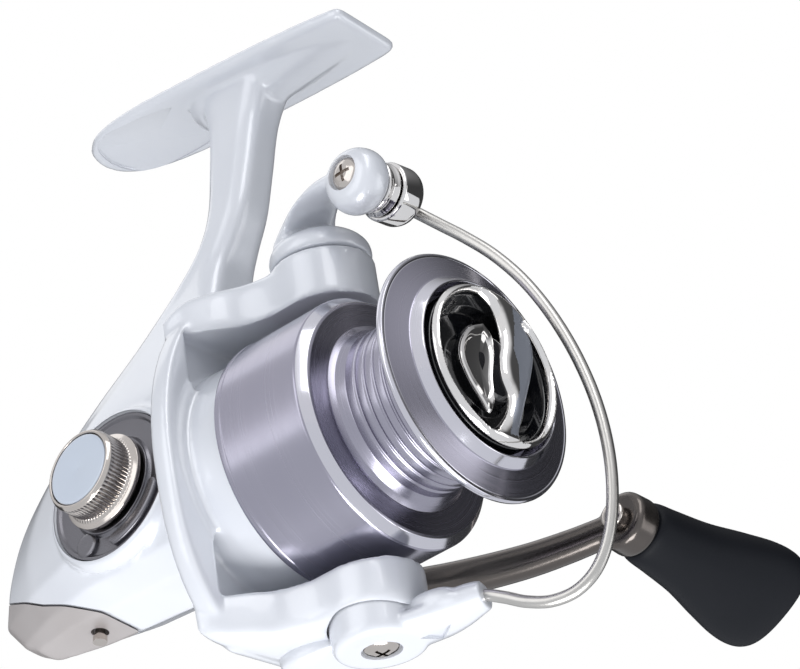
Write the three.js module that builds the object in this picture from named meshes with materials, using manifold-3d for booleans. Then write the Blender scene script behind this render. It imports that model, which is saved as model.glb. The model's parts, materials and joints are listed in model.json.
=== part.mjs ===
// Open-face spinning reel, size 30, in millimetres.
// Every piece is modelled in the shaft frame: +X runs forward along the main shaft, +Y towards the
// handle, +Z towards the rod foot, and x = 0 is the rim of the spool's front lip. The outer group then
// moves the origin to the middle of the foot's rod-side face.
import * as THREE from "three";
import * as BufferGeometryUtils from "three/addons/utils/BufferGeometryUtils.js";
import Module from "manifold-3d";

const wasm = await Module();
wasm.setup();

// ---- driving dimensions ----
const gap = 0.3; // running gap between neighbouring pieces
const lipRadius = 21; // spool lip, 42 mm across
const skirtRadius = 21.6;
const arborRadius = 14;
const skirtRear = -35.4; // rear edge of the spool skirt
const shaftRadius = 2;
const crankX = -68.4; // crank axis, parallel to Y, above the main shaft
const crankZ = 6.3;
const crankLength = 51.7; // crank axis to grip spindle
const gripDrop = -1.4; // grip spindle below the crank axis
const bodyHalfWidth = 11.7;
const seamY = 5; // plane where housing and side cover meet
const rotorTilt = 10; // degrees, pivot axis against the stem
const pivotX = -26.9; // bail pivot axis
const bossTop = 31.7; // upper arm boss, distance from the main shaft
const lowerTop = 28.6; // seat of the bail in the lower arm, distance from the main shaft
const armOuter = 31.4; // rotor arm outer face
const armInner = 23.2; // rotor arm inner face
const bossRadius = 8.5;
const rollerX = -11.3; // line roller axis, parallel to the rotor frame's Y
const rollerS = 38.2;
const bailLean = 20; // degrees, bail plane against the main shaft
const footLean = 5.46; // degrees, foot plane against the main shaft
const footX = -52.5; // middle of the foot's rod-side face
const footZ = 83.84;
const footLength = 63.8;
const oscillationX = -80.25; // oscillation gear axis
const oscillationZ = 5.2;
const strokeForward = 2.5; // travel of the spool from its rest place
const strokeBack = 6.5;
const driveTeeth = 52;
const pinionTeeth = 10;
const oscillationTeeth = 30;
const smallPinionTeeth = 13;

const rad = THREE.MathUtils.degToRad;

// ---- materials ----
const finish = (color, roughness, metalness) =>
  new THREE.MeshStandardMaterial({ color, roughness, metalness });
const pearlPaint = () => finish(0xdfe3ea, 0.35, 0.1);
const champagnePaint = () => finish(0x8e8782, 0.4, 0.5);
const anodised = () => finish(0x9a98a6, 0.3, 0.9);
const nickel = () => finish(0xb9b6b3, 0.2, 1);
const steel = () => finish(0xa9abad, 0.35, 1);
const brass = () => finish(0xb08d4a, 0.35, 1);
const zinc = () => finish(0x8f9296, 0.5, 0.9);
const blackPlastic = () => finish(0x17181b, 0.3, 0);
const softBlack = () => finish(0x1c1e24, 0.75, 0);
const gunmetal = () => finish(0x4a4541, 0.35, 0.8);
const feltGrey = () => finish(0x6d6a63, 0.95, 0);
const paleDisc = () => finish(0xdde6f2, 0.25, 0);

// ---- geometry helpers ----

// Merges shared vertices and drops triangles that collapse to a line.
function closed(geometry) {
  const bare = geometry.clone();
  bare.deleteAttribute("normal");
  bare.deleteAttribute("uv");
  const merged = BufferGeometryUtils.mergeVertices(bare, 1e-4);
  const index = merged.getIndex().array;
  const kept = [];
  for (let i = 0; i < index.length; i += 3) {
    const [a, b, c] = [index[i], index[i + 1], index[i + 2]];
    if (a !== b && b !== c && c !== a) kept.push(a, b, c);
  }
  if (signedVolume(merged.getAttribute("position"), kept) < 0) kept.reverse();
  merged.setIndex(kept);
  return merged;
}

function signedVolume(position, index) {
  const [a, b, c] = [new THREE.Vector3(), new THREE.Vector3(), new THREE.Vector3()];
  let sum = 0;
  for (let i = 0; i < index.length; i += 3) {
    a.fromBufferAttribute(position, index[i]);
    b.fromBufferAttribute(position, index[i + 1]);
    c.fromBufferAttribute(position, index[i + 2]);
    sum += a.dot(b.cross(c));
  }
  return sum;
}

function toSolid(geometry) {
  const g = closed(geometry);
  return new wasm.Manifold(new wasm.Mesh({
    numProp: 3,
    vertProperties: Float32Array.from(g.getAttribute("position").array),
    triVerts: Uint32Array.from(g.getIndex().array),
  }));
}

function toGeometry(solid) {
  const mesh = solid.getMesh();
  const geometry = new THREE.BufferGeometry();
  geometry.setAttribute("position", new THREE.BufferAttribute(Float32Array.from(mesh.vertProperties), 3));
  geometry.setIndex(new THREE.BufferAttribute(Uint32Array.from(mesh.triVerts), 1));
  return geometry;
}

const join = (first, ...rest) => rest.reduce((sum, g) => sum.add(toSolid(g)), toSolid(first));
const cut = (solid, ...tools) => tools.reduce((left, g) => left.subtract(toSolid(g)), solid);

// A closed profile of [x, radius] points turned about the X axis.
function turnX(profile, segments = 16) {
  const points = [...profile, profile[0]].map(([x, r]) => new THREE.Vector2(r, x));
  return new THREE.LatheGeometry(points, segments).rotateZ(-Math.PI / 2);
}

// The same about an axis parallel to Y through (x, z).
function turnY(profile, x, z, segments = 16) {
  const points = [...profile, profile[0]].map(([y, r]) => new THREE.Vector2(r, y));
  return new THREE.LatheGeometry(points, segments).translate(x, 0, z);
}

// The same about an axis parallel to Z through (x, y).
function turnZ(profile, x, y, segments = 16) {
  const points = [...profile, profile[0]].map(([z, r]) => new THREE.Vector2(r, z));
  return new THREE.LatheGeometry(points, segments).rotateX(Math.PI / 2).translate(x, y, 0);
}

const rodProfile = (from, to, radius) => [[from, 0], [from, radius], [to, radius], [to, 0]];
const ringProfile = (from, to, inner, outer) => [[from, inner], [from, outer], [to, outer], [to, inner]];

function block(x0, x1, y0, y1, z0, z1) {
  return new THREE.BoxGeometry(x1 - x0, y1 - y0, z1 - z0)
    .translate((x0 + x1) / 2, (y0 + y1) / 2, (z0 + z1) / 2);
}

// A skin over rings of points, each ring with the same count, closed by a fan at both ends.
function loft(rings) {
  const count = rings[0].length;
  const positions = [];
  const index = [];
  for (const ring of rings) for (const p of ring) positions.push(...p);
  const at = (ring, i) => ring * count + (i % count);
  for (let r = 0; r + 1 < rings.length; r += 1) {
    for (let i = 0; i < count; i += 1) {
      index.push(at(r, i), at(r, i + 1), at(r + 1, i));
      index.push(at(r, i + 1), at(r + 1, i + 1), at(r + 1, i));
    }
  }
  for (const [ring, flip] of [[0, true], [rings.length - 1, false]]) {
    const centre = positions.length / 3;
    const mean = [0, 1, 2].map((k) => rings[ring].reduce((sum, p) => sum + p[k], 0) / count);
    positions.push(...mean);
    for (let i = 0; i < count; i += 1) {
      if (flip) index.push(centre, at(ring, i + 1), at(ring, i));
      else index.push(centre, at(ring, i), at(ring, i + 1));
    }
  }
  const geometry = new THREE.BufferGeometry();
  geometry.setAttribute("position", new THREE.Float32BufferAttribute(positions, 3));
  geometry.setIndex(index);
  return geometry;
}

// An oval ring of points about a centre, spanned by two half-axis vectors.
function oval(centre, halfA, halfB, count = 16, power = 1) {
  return Array.from({ length: count }, (_, i) => {
    const t = (i / count) * 2 * Math.PI;
    const shape = (v) => Math.sign(v) * Math.abs(v) ** power;
    const [c, s] = [shape(Math.cos(t)), shape(Math.sin(t))];
    return [0, 1, 2].map((k) => centre[k] + c * halfA[k] + s * halfB[k]);
  });
}

// A round rod along a smooth curve through the points.
function rodAlong(points, radius, sides, steps) {
  const curve = new THREE.CatmullRomCurve3(points.map((p) => new THREE.Vector3(...p)));
  const section = new THREE.Shape(Array.from({ length: sides }, (_, i) => {
    const t = (i / sides) * 2 * Math.PI;
    return new THREE.Vector2(radius * Math.cos(t), radius * Math.sin(t));
  }));
  return new THREE.ExtrudeGeometry(section, { steps, extrudePath: curve, bevelEnabled: false });
}

// Outline of a gear: straight-flanked teeth between a root and a tip circle; pointed ones for knurls
// and for the fine crown teeth.
function toothed(teeth, root, tip, pointed = false) {
  const flat = [[-0.34, root], [-0.12, tip], [0.12, tip], [0.34, root]]; // in tooth pitches
  const corners = pointed ? [[-0.5, root], [0, tip]] : flat;
  const points = [];
  for (let tooth = 0; tooth < teeth; tooth += 1) {
    for (const [shift, radius] of corners) {
      const angle = ((tooth + shift) / teeth) * 2 * Math.PI;
      points.push(new THREE.Vector2(radius * Math.cos(angle), radius * Math.sin(angle)));
    }
  }
  return new THREE.Shape(points);
}

// A flat shape extruded along Y, from y0 to y1, about an axis through (x, z).
function extrudeY(shape, y0, y1, x, z) {
  return new THREE.ExtrudeGeometry(shape, { depth: y1 - y0, bevelEnabled: false })
    .rotateX(Math.PI / 2).translate(x, y1, z);
}

// A flat shape extruded along X, from x0 to x1, about the main shaft.
function extrudeX(shape, x0, x1) {
  return new THREE.ExtrudeGeometry(shape, { depth: x1 - x0, bevelEnabled: false })
    .rotateY(Math.PI / 2).translate(x0, 0, 0);
}

// ---- scene ----
const reel = new THREE.Group();
reel.position.set(-footX, 0, -footZ);
const rotorFrame = new THREE.Group(); // its Z is the bail pivot axis
rotorFrame.rotation.x = rad(rotorTilt);
reel.add(rotorFrame);

function add(group, name, shape, material) {
  const geometry = shape.isBufferGeometry ? closed(shape) : toGeometry(shape);
  geometry.computeVertexNormals();
  const mesh = new THREE.Mesh(geometry, material);
  mesh.name = name;
  group.add(mesh);
}

// ---- housing, stem and foot ----

// One level of the body: front x, its half width, the widest point behind it, and the rear ridge.
const bodyLevels = [
  { z: -11.2, front: -49.5, frontHalf: 4.9, middle: -76, middleHalf: 4.2, rear: -96, rearHalf: 2.4, tilt: 0.055 },
  { z: -8, front: -49.5, frontHalf: 9.6, middle: -78, middleHalf: 8.4, rear: -99.5, rearHalf: 2.8, tilt: 0.03 },
  { z: -2, front: -49.5, frontHalf: 11.5, middle: -81, middleHalf: 10.8, rear: -103.2, rearHalf: 3.2 },
  { z: 6, front: -49.5, frontHalf: bodyHalfWidth, middle: -83, middleHalf: 11.3, rear: -102, rearHalf: 3.6 },
  { z: 14, front: -49.5, frontHalf: bodyHalfWidth, middle: -81, middleHalf: 11, rear: -98.6, rearHalf: 3.9 },
  { z: 22, front: -49.8, frontHalf: 11, middle: -77, middleHalf: 9.8, rear: -91.8, rearHalf: 4 },
  { z: 29, front: -50.3, frontHalf: 9.2, middle: -71, middleHalf: 8.2, rear: -83.6, rearHalf: 4.1 },
  { z: 36, front: -51.2, frontHalf: 7.2, middle: -64.5, middleHalf: 6.6, rear: -73.4, rearHalf: 4.1 },
  { z: 41, front: -51.8, frontHalf: 6, middle: -60.6, middleHalf: 5.6, rear: -67, rearHalf: 4 },
  { z: 46, front: -51.4, frontHalf: 5.2, middle: -57, middleHalf: 5, rear: -61.2, rearHalf: 3.8 },
  { z: 51, front: -49.4, frontHalf: 4.6, middle: -53.6, middleHalf: 4.6, rear: -57.2, rearHalf: 3.6 },
  { z: 57, front: -47, frontHalf: 4.4, middle: -51.2, middleHalf: 4.4, rear: -55.2, rearHalf: 3.5 },
  { z: 65, front: -45.5, frontHalf: 4.3, middle: -50.2, middleHalf: 4.3, rear: -54.9, rearHalf: 3.4 },
  { z: 74, front: -44, frontHalf: 4.3, middle: -49.6, middleHalf: 4.4, rear: -55, rearHalf: 3.5 },
  { z: 82, front: -41, frontHalf: 4.8, middle: -49, middleHalf: 5, rear: -57, rearHalf: 3.8 },
];

// The level's outline, inset by a wall thickness.
function bodyRing(level, wall = 0) {
  const tilt = level.tilt ?? 0; // rise of the level towards the tail
  const front = level.front - wall;
  const rear = level.rear + 2 * wall;
  const half = level.frontHalf - wall;
  const middle = level.middleHalf - wall;
  const ridge = Math.max(level.rearHalf - wall, 0.6);
  const corner = 2.2;
  const side = [
    [rear, ridge], [(rear + level.middle) / 2, (ridge + middle) / 2 + 0.7],
    [level.middle, middle], [front - corner, half], [front, half - corner * 0.7],
  ];
  const outline = [...side.map(([x, y]) => [x, -y]), ...side.reverse()];
  return outline.map(([x, y]) => [x, y, level.z + tilt * (level.front - x)]);
}

const bodySkin = loft(bodyLevels.map((level) => bodyRing(level)));

// The hollow of the gear case.
function gearCaseHollow() {
  const wall = 1.6;
  const levels = bodyLevels.filter((level) => level.z > -9 && level.z < 30);
  const rings = levels.map((level) => bodyRing(level, wall));
  rings[0] = bodyRing({ ...levels[0], z: -7.4 }, wall);
  return loft(rings);
}

// Plate of the foot in its own frame: u along the foot, rod-side face at z = 0.
function footPlate() {
  const half = footLength / 2;
  const shape = new THREE.Shape();
  shape.moveTo(half, -5);
  shape.quadraticCurveTo(half, -7, half - 2.4, -7.2);
  shape.quadraticCurveTo(8, -8.6, -half + 14, -7.9);
  shape.quadraticCurveTo(-half + 1, -7, -half, -2.5);
  shape.lineTo(-half, 2.5);
  shape.quadraticCurveTo(-half + 1, 7, -half + 14, 7.9);
  shape.quadraticCurveTo(8, 8.6, half - 2.4, 7.2);
  shape.quadraticCurveTo(half, 7, half, 5);
  shape.closePath();
  return new THREE.ExtrudeGeometry(shape, {
    depth: 1.4, bevelEnabled: true, bevelSize: 0.5, bevelThickness: 0.4, bevelOffset: -0.5, bevelSegments: 1,
    curveSegments: 7,
  }).translate(0, 0, -1.8);
}

// Rounded rib under the front half of the foot, running into the stem.
function footRib() {
  const rings = [[-4, 4.6, 5.2], [6, 4.8, 5], [12, 4.6, 3.6], [20, 4, 2.1], [29, 3.2, 0.7]]
    .map(([u, width, height]) => oval([u, 0, -1.2], [0, width, 0], [0, 0, height], 14));
  return loft(rings.map((ring) => ring.map(([u, v, w]) => [u, v, Math.min(w, -0.4)])));
}

const toFoot = (geometry) => geometry.rotateY(rad(footLean)).translate(footX, 0, footZ);

const bearingSeat = (from, to) => turnY(rodProfile(from, to, 7.3), crankX, crankZ);
const coverRegion = (from, top, front) => block(-120, front, from, 30, -30, top);

function bodyHousing() {
  const nose = turnX(rodProfile(-56, -44.8, 11), 20);
  const sideBoss = turnY(rodProfile(-11.9, -9.9, 13.6), crankX, crankZ, 24);
  const shell = join(bodySkin, toFoot(footPlate()), toFoot(footRib()), nose, sideBoss);
  return cut(
    shell,
    gearCaseHollow(),
    coverRegion(seamY - gap / 2, 31.3, -54.2),
    bearingSeat(-13, -9),
    turnX(rodProfile(-60, -49.6, 8.8)), // seat of the pinion bearing
    turnX(rodProfile(-50, -40, 9.4)), // seat of the one-way clutch
    block(-58.4, -54.6, -5.6, 5.6, -14, -6), // slot of the anti-reverse lever
    tailRegion(gap),
  );
}

// Wedge behind and below the tail seam; a shift moves the seam up and forward.
function tailRegion(shift) {
  const seam = [[-112, 8], [-90, -4.6], [-75.6, -11], [-75.6, -30], [-112, -30]];
  const shape = new THREE.Shape(seam.map(([x, z]) => new THREE.Vector2(x + shift * 0.5, z + shift)));
  return extrudeY(shape, -30, 30, 0, 0);
}

const coverScrews = [[-58, 17], [-87, 12], [-60, -5]]; // [x, z]
const coverScrewBore = 1.6;

function sideCover() {
  const skin = toSolid(bodySkin).intersect(toSolid(coverRegion(seamY + gap / 2, 31, -54.5)));
  const holes = coverScrews.map(([x, z]) => turnY(rodProfile(4, 30, coverScrewBore), x, z, 12));
  return cut(skin, gearCaseHollow(), bearingSeat(8, 14), tailRegion(gap), ...holes);
}

function tailCap() {
  const wedge = toSolid(bodySkin).intersect(toSolid(tailRegion(0)));
  return cut(wedge, gearCaseHollow(), turnZ(rodProfile(-20, -5, 1.5), -83.7, 0, 16));
}

add(reel, "body_housing", bodyHousing(), pearlPaint());
add(reel, "side_cover", sideCover(), pearlPaint());
add(reel, "tail_cap", tailCap(), champagnePaint());
add(reel, "tail_screw", join(
  turnZ(rodProfile(-11.2, -10.2, 1.2), -83.7, 0, 16),
  turnZ(rodProfile(-10.4, -7.9, 0.8), -83.7, 0, 12),
), nickel());
coverScrews.forEach(([x, z], i) => {
  const head = turnY(rodProfile(9.2, 10.6, 1.3), x, z, 12);
  const shank = turnY(rodProfile(3.8, 9.4, 0.8), x, z, 12);
  add(reel, `cover_screw_${i + 1}`, join(head, shank), nickel());
});
add(reel, "side_plate", turnY([
  [-12.2, 4.2], [-12.2, 12.9], [-12.6, 12.9], [-12.9, 12.1], [-12.6, 9], [-12.6, 4.2],
], crankX, crankZ, 24), nickel());
add(reel, "handle_collar", turnY([
  [12, 3.7], [12, 8.2], [13, 7.6], [13.6, 5.2], [13.6, 3.7],
], crankX, crankZ), nickel());

// ---- crank train ----
const gearDisc = { from: 6.3, to: 7.3, radius: 12 };
const pinionTip = 5; // tip radius of the pinion
const crownTips = pinionTip + gap + 0.05; // crown tips run just clear of the pinion

function driveGear() {
  const disc = turnY([
    [5.6, 3.1], [5.6, 5.5], [gearDisc.from, 5.5], [gearDisc.from, 9.7], [crownTips, 9.7], [crownTips, 10.4],
    [gearDisc.from, 10.4], [gearDisc.from, gearDisc.radius], [gearDisc.to, gearDisc.radius], [gearDisc.to, 5.5],
    [8.6, 5.5], [8.6, 3.1],
  ], crankX, crankZ, 20);
  const crown = toothed(driveTeeth, 10.6, gearDisc.radius - 0.1, true);
  const teeth = extrudeY(crown, crownTips, gearDisc.from + 0.2, crankX, crankZ);
  const inside = turnY(rodProfile(0, 9, 10.1), crankX, crankZ, 20);
  return toSolid(disc).add(cut(toSolid(teeth), inside));
}

function driveShaft() {
  const tube = turnY(ringProfile(-11.5, 11.4, 1.8, 2.8), crankX, crankZ);
  const small = extrudeY(toothed(smallPinionTeeth, 3, 3.6, true), -7.2, -5.8, crankX, crankZ);
  return toSolid(tube).add(cut(toSolid(small), turnY(rodProfile(-9, -4, 2.3), crankX, crankZ)));
}

add(reel, "drive_gear", driveGear(), zinc());
add(reel, "drive_shaft", driveShaft(), steel());
add(reel, "drive_bearing_right", turnY(ringProfile(-11.6, -9.4, 3.1, 7), crankX, crankZ), steel());
add(reel, "drive_bearing_left", turnY(ringProfile(9, 11.2, 3.1, 7), crankX, crankZ), steel());
add(reel, "handle_screw", turnY(rodProfile(-12.9, 30, 1.4), crankX, crankZ, 12), steel());

const capKnurls = 28;

// Knurled cap of the handle screw with a recess for its disc.
function handleCap() {
  const knurls = extrudeY(toothed(capKnurls, 6.75, 7.15, true), -19, -14.4, crankX, crankZ);
  const core = turnY([
    [-14.8, 0], [-14.8, 6.9], [-14.4, 8.3], [-13.5, 8.3], [-13.2, 7.8], [-13.2, 0],
  ], crankX, crankZ, 24);
  const rim = turnY([[-19, 0], [-19, 6.9], [-19.6, 6.6], [-19.6, 0]], crankX, crankZ, 24);
  return cut(join(knurls, core, rim), turnY(rodProfile(-21, -18.9, 6.3), crankX, crankZ, 24));
}

add(reel, "handle_cap", handleCap(), nickel());
add(reel, "cap_disc", turnY(rodProfile(-19.6, -19.2, 6), crankX, crankZ, 24), paleDisc());
add(reel, "handle_shank", cut(
  toSolid(turnY([
    [11.7, 0], [11.7, 3.2], [24, 3.2], [26, 3.9], [35.6, 3.9], [36.4, 3.2], [36.4, 0],
  ], crankX, crankZ)),
  turnY(rodProfile(11, 30.4, 1.7), crankX, crankZ, 12),
), gunmetal());

const spindleX = crankX + crankLength;
const spindleZ = crankZ + gripDrop;

// Arm from the knuckle at the shank to the hub of the grip spindle, leaning outwards.
function handleArm() {
  const root = [crankX, 39.6, crankZ];
  const tip = [spindleX, 54.4, spindleZ];
  const lean = Math.atan2(tip[1] - root[1], crankLength);
  const spans = 5;
  const rings = Array.from({ length: spans + 1 }, (_, i) => {
    const t = i / spans;
    const centre = root.map((v, k) => v + (tip[k] - v) * t);
    centre[1] -= 0.8 * Math.sin(t * Math.PI); // slight bow towards the body
    const width = 3 - 0.8 * t;
    return oval(centre, [-width * Math.sin(lean), width * Math.cos(lean), 0], [0, 0, width * 1.15], 12);
  });
  const knuckle = turnY([
    [36.7, 0], [36.7, 4.2], [37.5, 4.9], [41.4, 4.9], [42.6, 3.8], [42.6, 0],
  ], crankX, crankZ, 20);
  const hub = turnY([
    [52.2, 0], [52.2, 3.7], [52.8, 4.3], [55.6, 4.5], [56.9, 5.1], [57.1, 4.6], [57.1, 0],
  ], spindleX, spindleZ, 20);
  return cut(join(loft(rings), knuckle, hub), turnY(rodProfile(50, 60, 1.9), spindleX, spindleZ));
}

// Paddle grip: a flattened oval that widens and rolls over to its rounded end.
function grip() {
  const roll = rad(30);
  const stations = [
    [57.4, 4.4, 3.8], [58.6, 5.2, 4.6], [63, 5.8, 5], [70, 6.6, 5.2], [77, 8.2, 5.3], [84, 9.6, 5.1],
    [89, 9.6, 4.5], [91.6, 7.8, 3.4], [92.8, 5, 1.8],
  ];
  const rings = stations.map(([y, half, thick]) => oval(
    [spindleX, y, spindleZ], [-half * Math.cos(roll), 0, -half * Math.sin(roll)],
    [-thick * Math.sin(roll), 0, thick * Math.cos(roll)], 18, 0.85,
  ));
  return cut(toSolid(loft(rings)), turnY(rodProfile(50, 84, 1.9), spindleX, spindleZ));
}

add(reel, "handle_arm", handleArm(), gunmetal());
add(reel, "grip_spindle", join(
  turnY(rodProfile(50.8, 83.5, 1.6), spindleX, spindleZ),
  turnY([[50, 0], [50, 1.8], [50.4, 2.3], [51.1, 2.3], [51.1, 0]], spindleX, spindleZ),
), steel());
add(reel, "grip", grip(), softBlack());

// ---- pinion train in the nose ----
const sleeveRadius = 3.4;

function pinionGear() {
  const teeth = extrudeX(toothed(pinionTeeth, 3.9, pinionTip), -62.2, -57);
  const sleeve = turnX(rodProfile(-57.5, -35.2, sleeveRadius));
  return cut(join(teeth, sleeve), turnX(rodProfile(-70, -30, shaftRadius + gap)));
}

add(reel, "pinion_gear", pinionGear(), brass());
add(reel, "pinion_bush", turnX(ringProfile(-65.2, -62.6, shaftRadius + gap, 4.2)), brass());
add(reel, "pinion_bearing", turnX(ringProfile(-53.8, -50.6, sleeveRadius + gap, 8.5)), steel());
add(reel, "bearing_retainer", turnX(ringProfile(-50.3, -49.7, 5.5, 8.5)), steel());
add(reel, "one_way_clutch", turnX(ringProfile(-49.3, -45.1, sleeveRadius + gap, 9.1)), steel());

// Anti-reverse lever: swings across the belly on an axis parallel to the shaft.
function antiReverseLever() {
  const pivotZ = -6.8;
  const pivot = turnX(rodProfile(-58, -55, 0.95), 12).translate(0, 0, pivotZ);
  const stem = block(-57.6, -55.4, -1, 1, -12.6, pivotZ);
  const pad = turnX(rodProfile(-58, -55, 7.9), 24).translate(0, 0, pivotZ);
  const wedge = block(-60, -50, -2.4, 2.4, -20, -12.4);
  return join(pivot, stem).add(toSolid(pad).intersect(toSolid(wedge)))
    .translate([0, 0, -pivotZ]).rotate([-15, 0, 0]).translate([0, 0, pivotZ]);
}

add(reel, "anti_reverse_lever", antiReverseLever(), nickel());

// ---- main shaft and oscillation ----
const eccentric = (strokeForward + strokeBack) / 2;
const pinShift = (strokeBack - strokeForward) / 2; // how far the rest place lies in front of mid stroke
const pinX = oscillationX + pinShift;
const pinZ = oscillationZ + Math.sqrt(eccentric ** 2 - pinShift ** 2);
const blockHalf = 2.5;
const onGuide = (geometry) => geometry.translate(0, -0.3, 12.9); // beside the main shaft

function oscillationGear() {
  const disc = extrudeY(toothed(oscillationTeeth, 7.1, 8, true), -7.2, -5.8, oscillationX, oscillationZ);
  const pin = turnY(rodProfile(-6.2, -3.6, 1.3), pinX, pinZ, 12);
  return cut(join(disc, pin), turnY(rodProfile(-9, -5, 1.8), oscillationX, oscillationZ, 12));
}

function sliderBlock() {
  const body = block(pinX - blockHalf, pinX + blockHalf, -3.3, 3, -6.2, 14.6);
  const reach = eccentric + 1.7; // half length of the slot the eccentric pin drives
  const slot = block(pinX - 1.6, pinX + 1.6, -4, -2.6, oscillationZ - reach, oscillationZ + reach);
  return cut(
    toSolid(body),
    slot,
    turnX(rodProfile(-100, -70, shaftRadius + gap)),
    onGuide(turnX(rodProfile(-100, -70, 1.3), 12)),
  );
}

add(reel, "oscillation_gear", oscillationGear(), brass());
add(reel, "oscillation_post", turnY(rodProfile(-9.2, -5.4, 1.5), oscillationX, oscillationZ, 12), steel());
add(reel, "slider_block", sliderBlock(), zinc());
add(reel, "guide_rod", onGuide(turnX(rodProfile(-92, -64, 1), 12)), steel());
add(reel, "main_shaft", turnX(rodProfile(-86.5, 3.3, shaftRadius)), steel());
add(reel, "spool_support", turnX([
  [-22.6, shaftRadius + gap], [-22.6, 4], [-21.4, 4], [-21.4, 6], [-20.2, 6], [-20.2, shaftRadius + gap],
]), brass());

// ---- rotor ----
const rotorRear = -47.3;

// The rotor's oval outline seen along the main shaft.
function ovalPrism(x0, x1) {
  const shape = new THREE.Shape();
  shape.absellipse(0, 0, 34, 24.5, 0, 2 * Math.PI, false, 0);
  return extrudeX(new THREE.Shape(shape.getPoints(22)), x0, x1);
}

// Planform of a rotor arm: wide at the rotor's base, round at the bail pivot.
function armPlan() {
  const half = 19.5;
  const shape = new THREE.Shape();
  shape.moveTo(rotorRear, -half);
  shape.quadraticCurveTo(-38, -17.5, -36, -10.5);
  shape.quadraticCurveTo(-34, -bossRadius, pivotX, -bossRadius);
  shape.absarc(pivotX, 0, bossRadius, -Math.PI / 2, Math.PI / 2, false);
  shape.quadraticCurveTo(-34, bossRadius, -36, 10.5);
  shape.quadraticCurveTo(-38, 17.5, rotorRear, half);
  shape.closePath();
  return shape;
}

function rotorArm(side) {
  const bevel = 1.4;
  const foot = 21; // the arm's inner face where it leaves the base
  const arm = new THREE.ExtrudeGeometry(armPlan(), {
    depth: armOuter - foot - 2 * bevel, bevelEnabled: true, bevelSize: 1.2, bevelThickness: bevel,
    bevelOffset: -1.2, bevelSegments: 1, curveSegments: 3,
  }).translate(0, 0, foot + bevel);
  const boss = turnZ(rodProfile(armInner, side < 0 ? lowerTop : bossTop, bossRadius), pivotX, 0, 24);
  if (side < 0) return join(arm, boss).rotate([180, 0, 0]); // the lower arm keeps its square corners
  return toSolid(arm).intersect(toSolid(ovalPrism(rotorRear - 1, 0))).add(toSolid(boss));
}

// Bore of the trip lever's rod, beside the upper arm.
const onTrip = (geometry) => geometry.translate(0, 6, 28);

function rotor() {
  const base = toSolid(ovalPrism(rotorRear, -42.8))
    .intersect(toSolid(block(-60, 0, -30, 30, -armOuter, armOuter)));
  const cup = turnX([
    [rotorRear, 12], [rotorRear, 20], [-42.8, 22.4], [-40.5, 20.3], [-27.4, 20.3], [-27.4, 18.4], [-38.6, 18.4],
    [-39.6, 17], [-39.6, sleeveRadius + gap], [-43.6, sleeveRadius + gap], [-43.6, 12],
  ], 24);
  return cut(
    base.add(toSolid(cup)).add(rotorArm(1)).add(rotorArm(-1)),
    turnX(ringProfile(-42.2, 0, 20.3, armInner), 24), // room for the spool skirt
    turnX(rodProfile(-60, -43.9, 12)), // room for the nose
    turnX(rodProfile(-60, -20, sleeveRadius + gap)),
    turnZ(rodProfile(20, 36, 3.7), pivotX, 0),
    turnZ(rodProfile(-36, -20, 1.9), pivotX, 0, 12),
    onTrip(turnX(rodProfile(-60, -29, 1.2), 12)),
    block(-42, -36.5, -3.4, 3.4, -40, -26), // pocket of the bail spring
    turnZ(rodProfile(-40, -lowerTop, bossRadius + gap), pivotX, 0, 24), // seat of the lower bail arm
  );
}

add(rotorFrame, "rotor", rotor(), pearlPaint());
add(rotorFrame, "rotor_nut", cut(
  toSolid(turnX(rodProfile(-39.2, -36, 6), 6)),
  turnX(rodProfile(-45, -30, sleeveRadius + gap)),
), steel());
add(rotorFrame, "trip_lever", onTrip(turnX(rodProfile(-46.8, -32, 0.9), 12)), steel());
add(rotorFrame, "rotor_arm_cover", block(-42.8, -35.9, -4.4, 4.4, -32.6, -31.7), pearlPaint());

// Torsion spring of the bail, standing in the lower arm's pocket.
function bailSpring() {
  const turns = 3;
  const points = Array.from({ length: turns * 8 + 1 }, (_, i) => {
    const t = (i / 8) * 2 * Math.PI;
    return [-39.25 + 1.9 * Math.cos(t), 1.9 * Math.sin(t), -30.6 + i * 0.15];
  });
  return rodAlong(points, 0.3, 4, turns * 10);
}

add(rotorFrame, "bail_spring", bailSpring(), steel());
add(rotorFrame, "pivot_bush", turnZ(ringProfile(25.1, 31.4, 1.9, 3.4), pivotX, 0), brass());
add(rotorFrame, "upper_pivot_screw", join(
  turnZ(rodProfile(23.6, 24.8, 2.9), pivotX, 0),
  turnZ(rodProfile(24.5, 34.8, 1.6), pivotX, 0, 12),
), nickel());
add(rotorFrame, "lower_pivot_screw", join(
  turnZ([[-35.8, 0], [-35.6, 2], [-35.1, 2.9], [-34.6, 2.9], [-34.6, 0]], pivotX, 0),
  turnZ(rodProfile(-35, -25.5, 1.6), pivotX, 0, 12),
), nickel());

// ---- bail ----
const armEnd = { from: -9.5, to: -4.2 };

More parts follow.
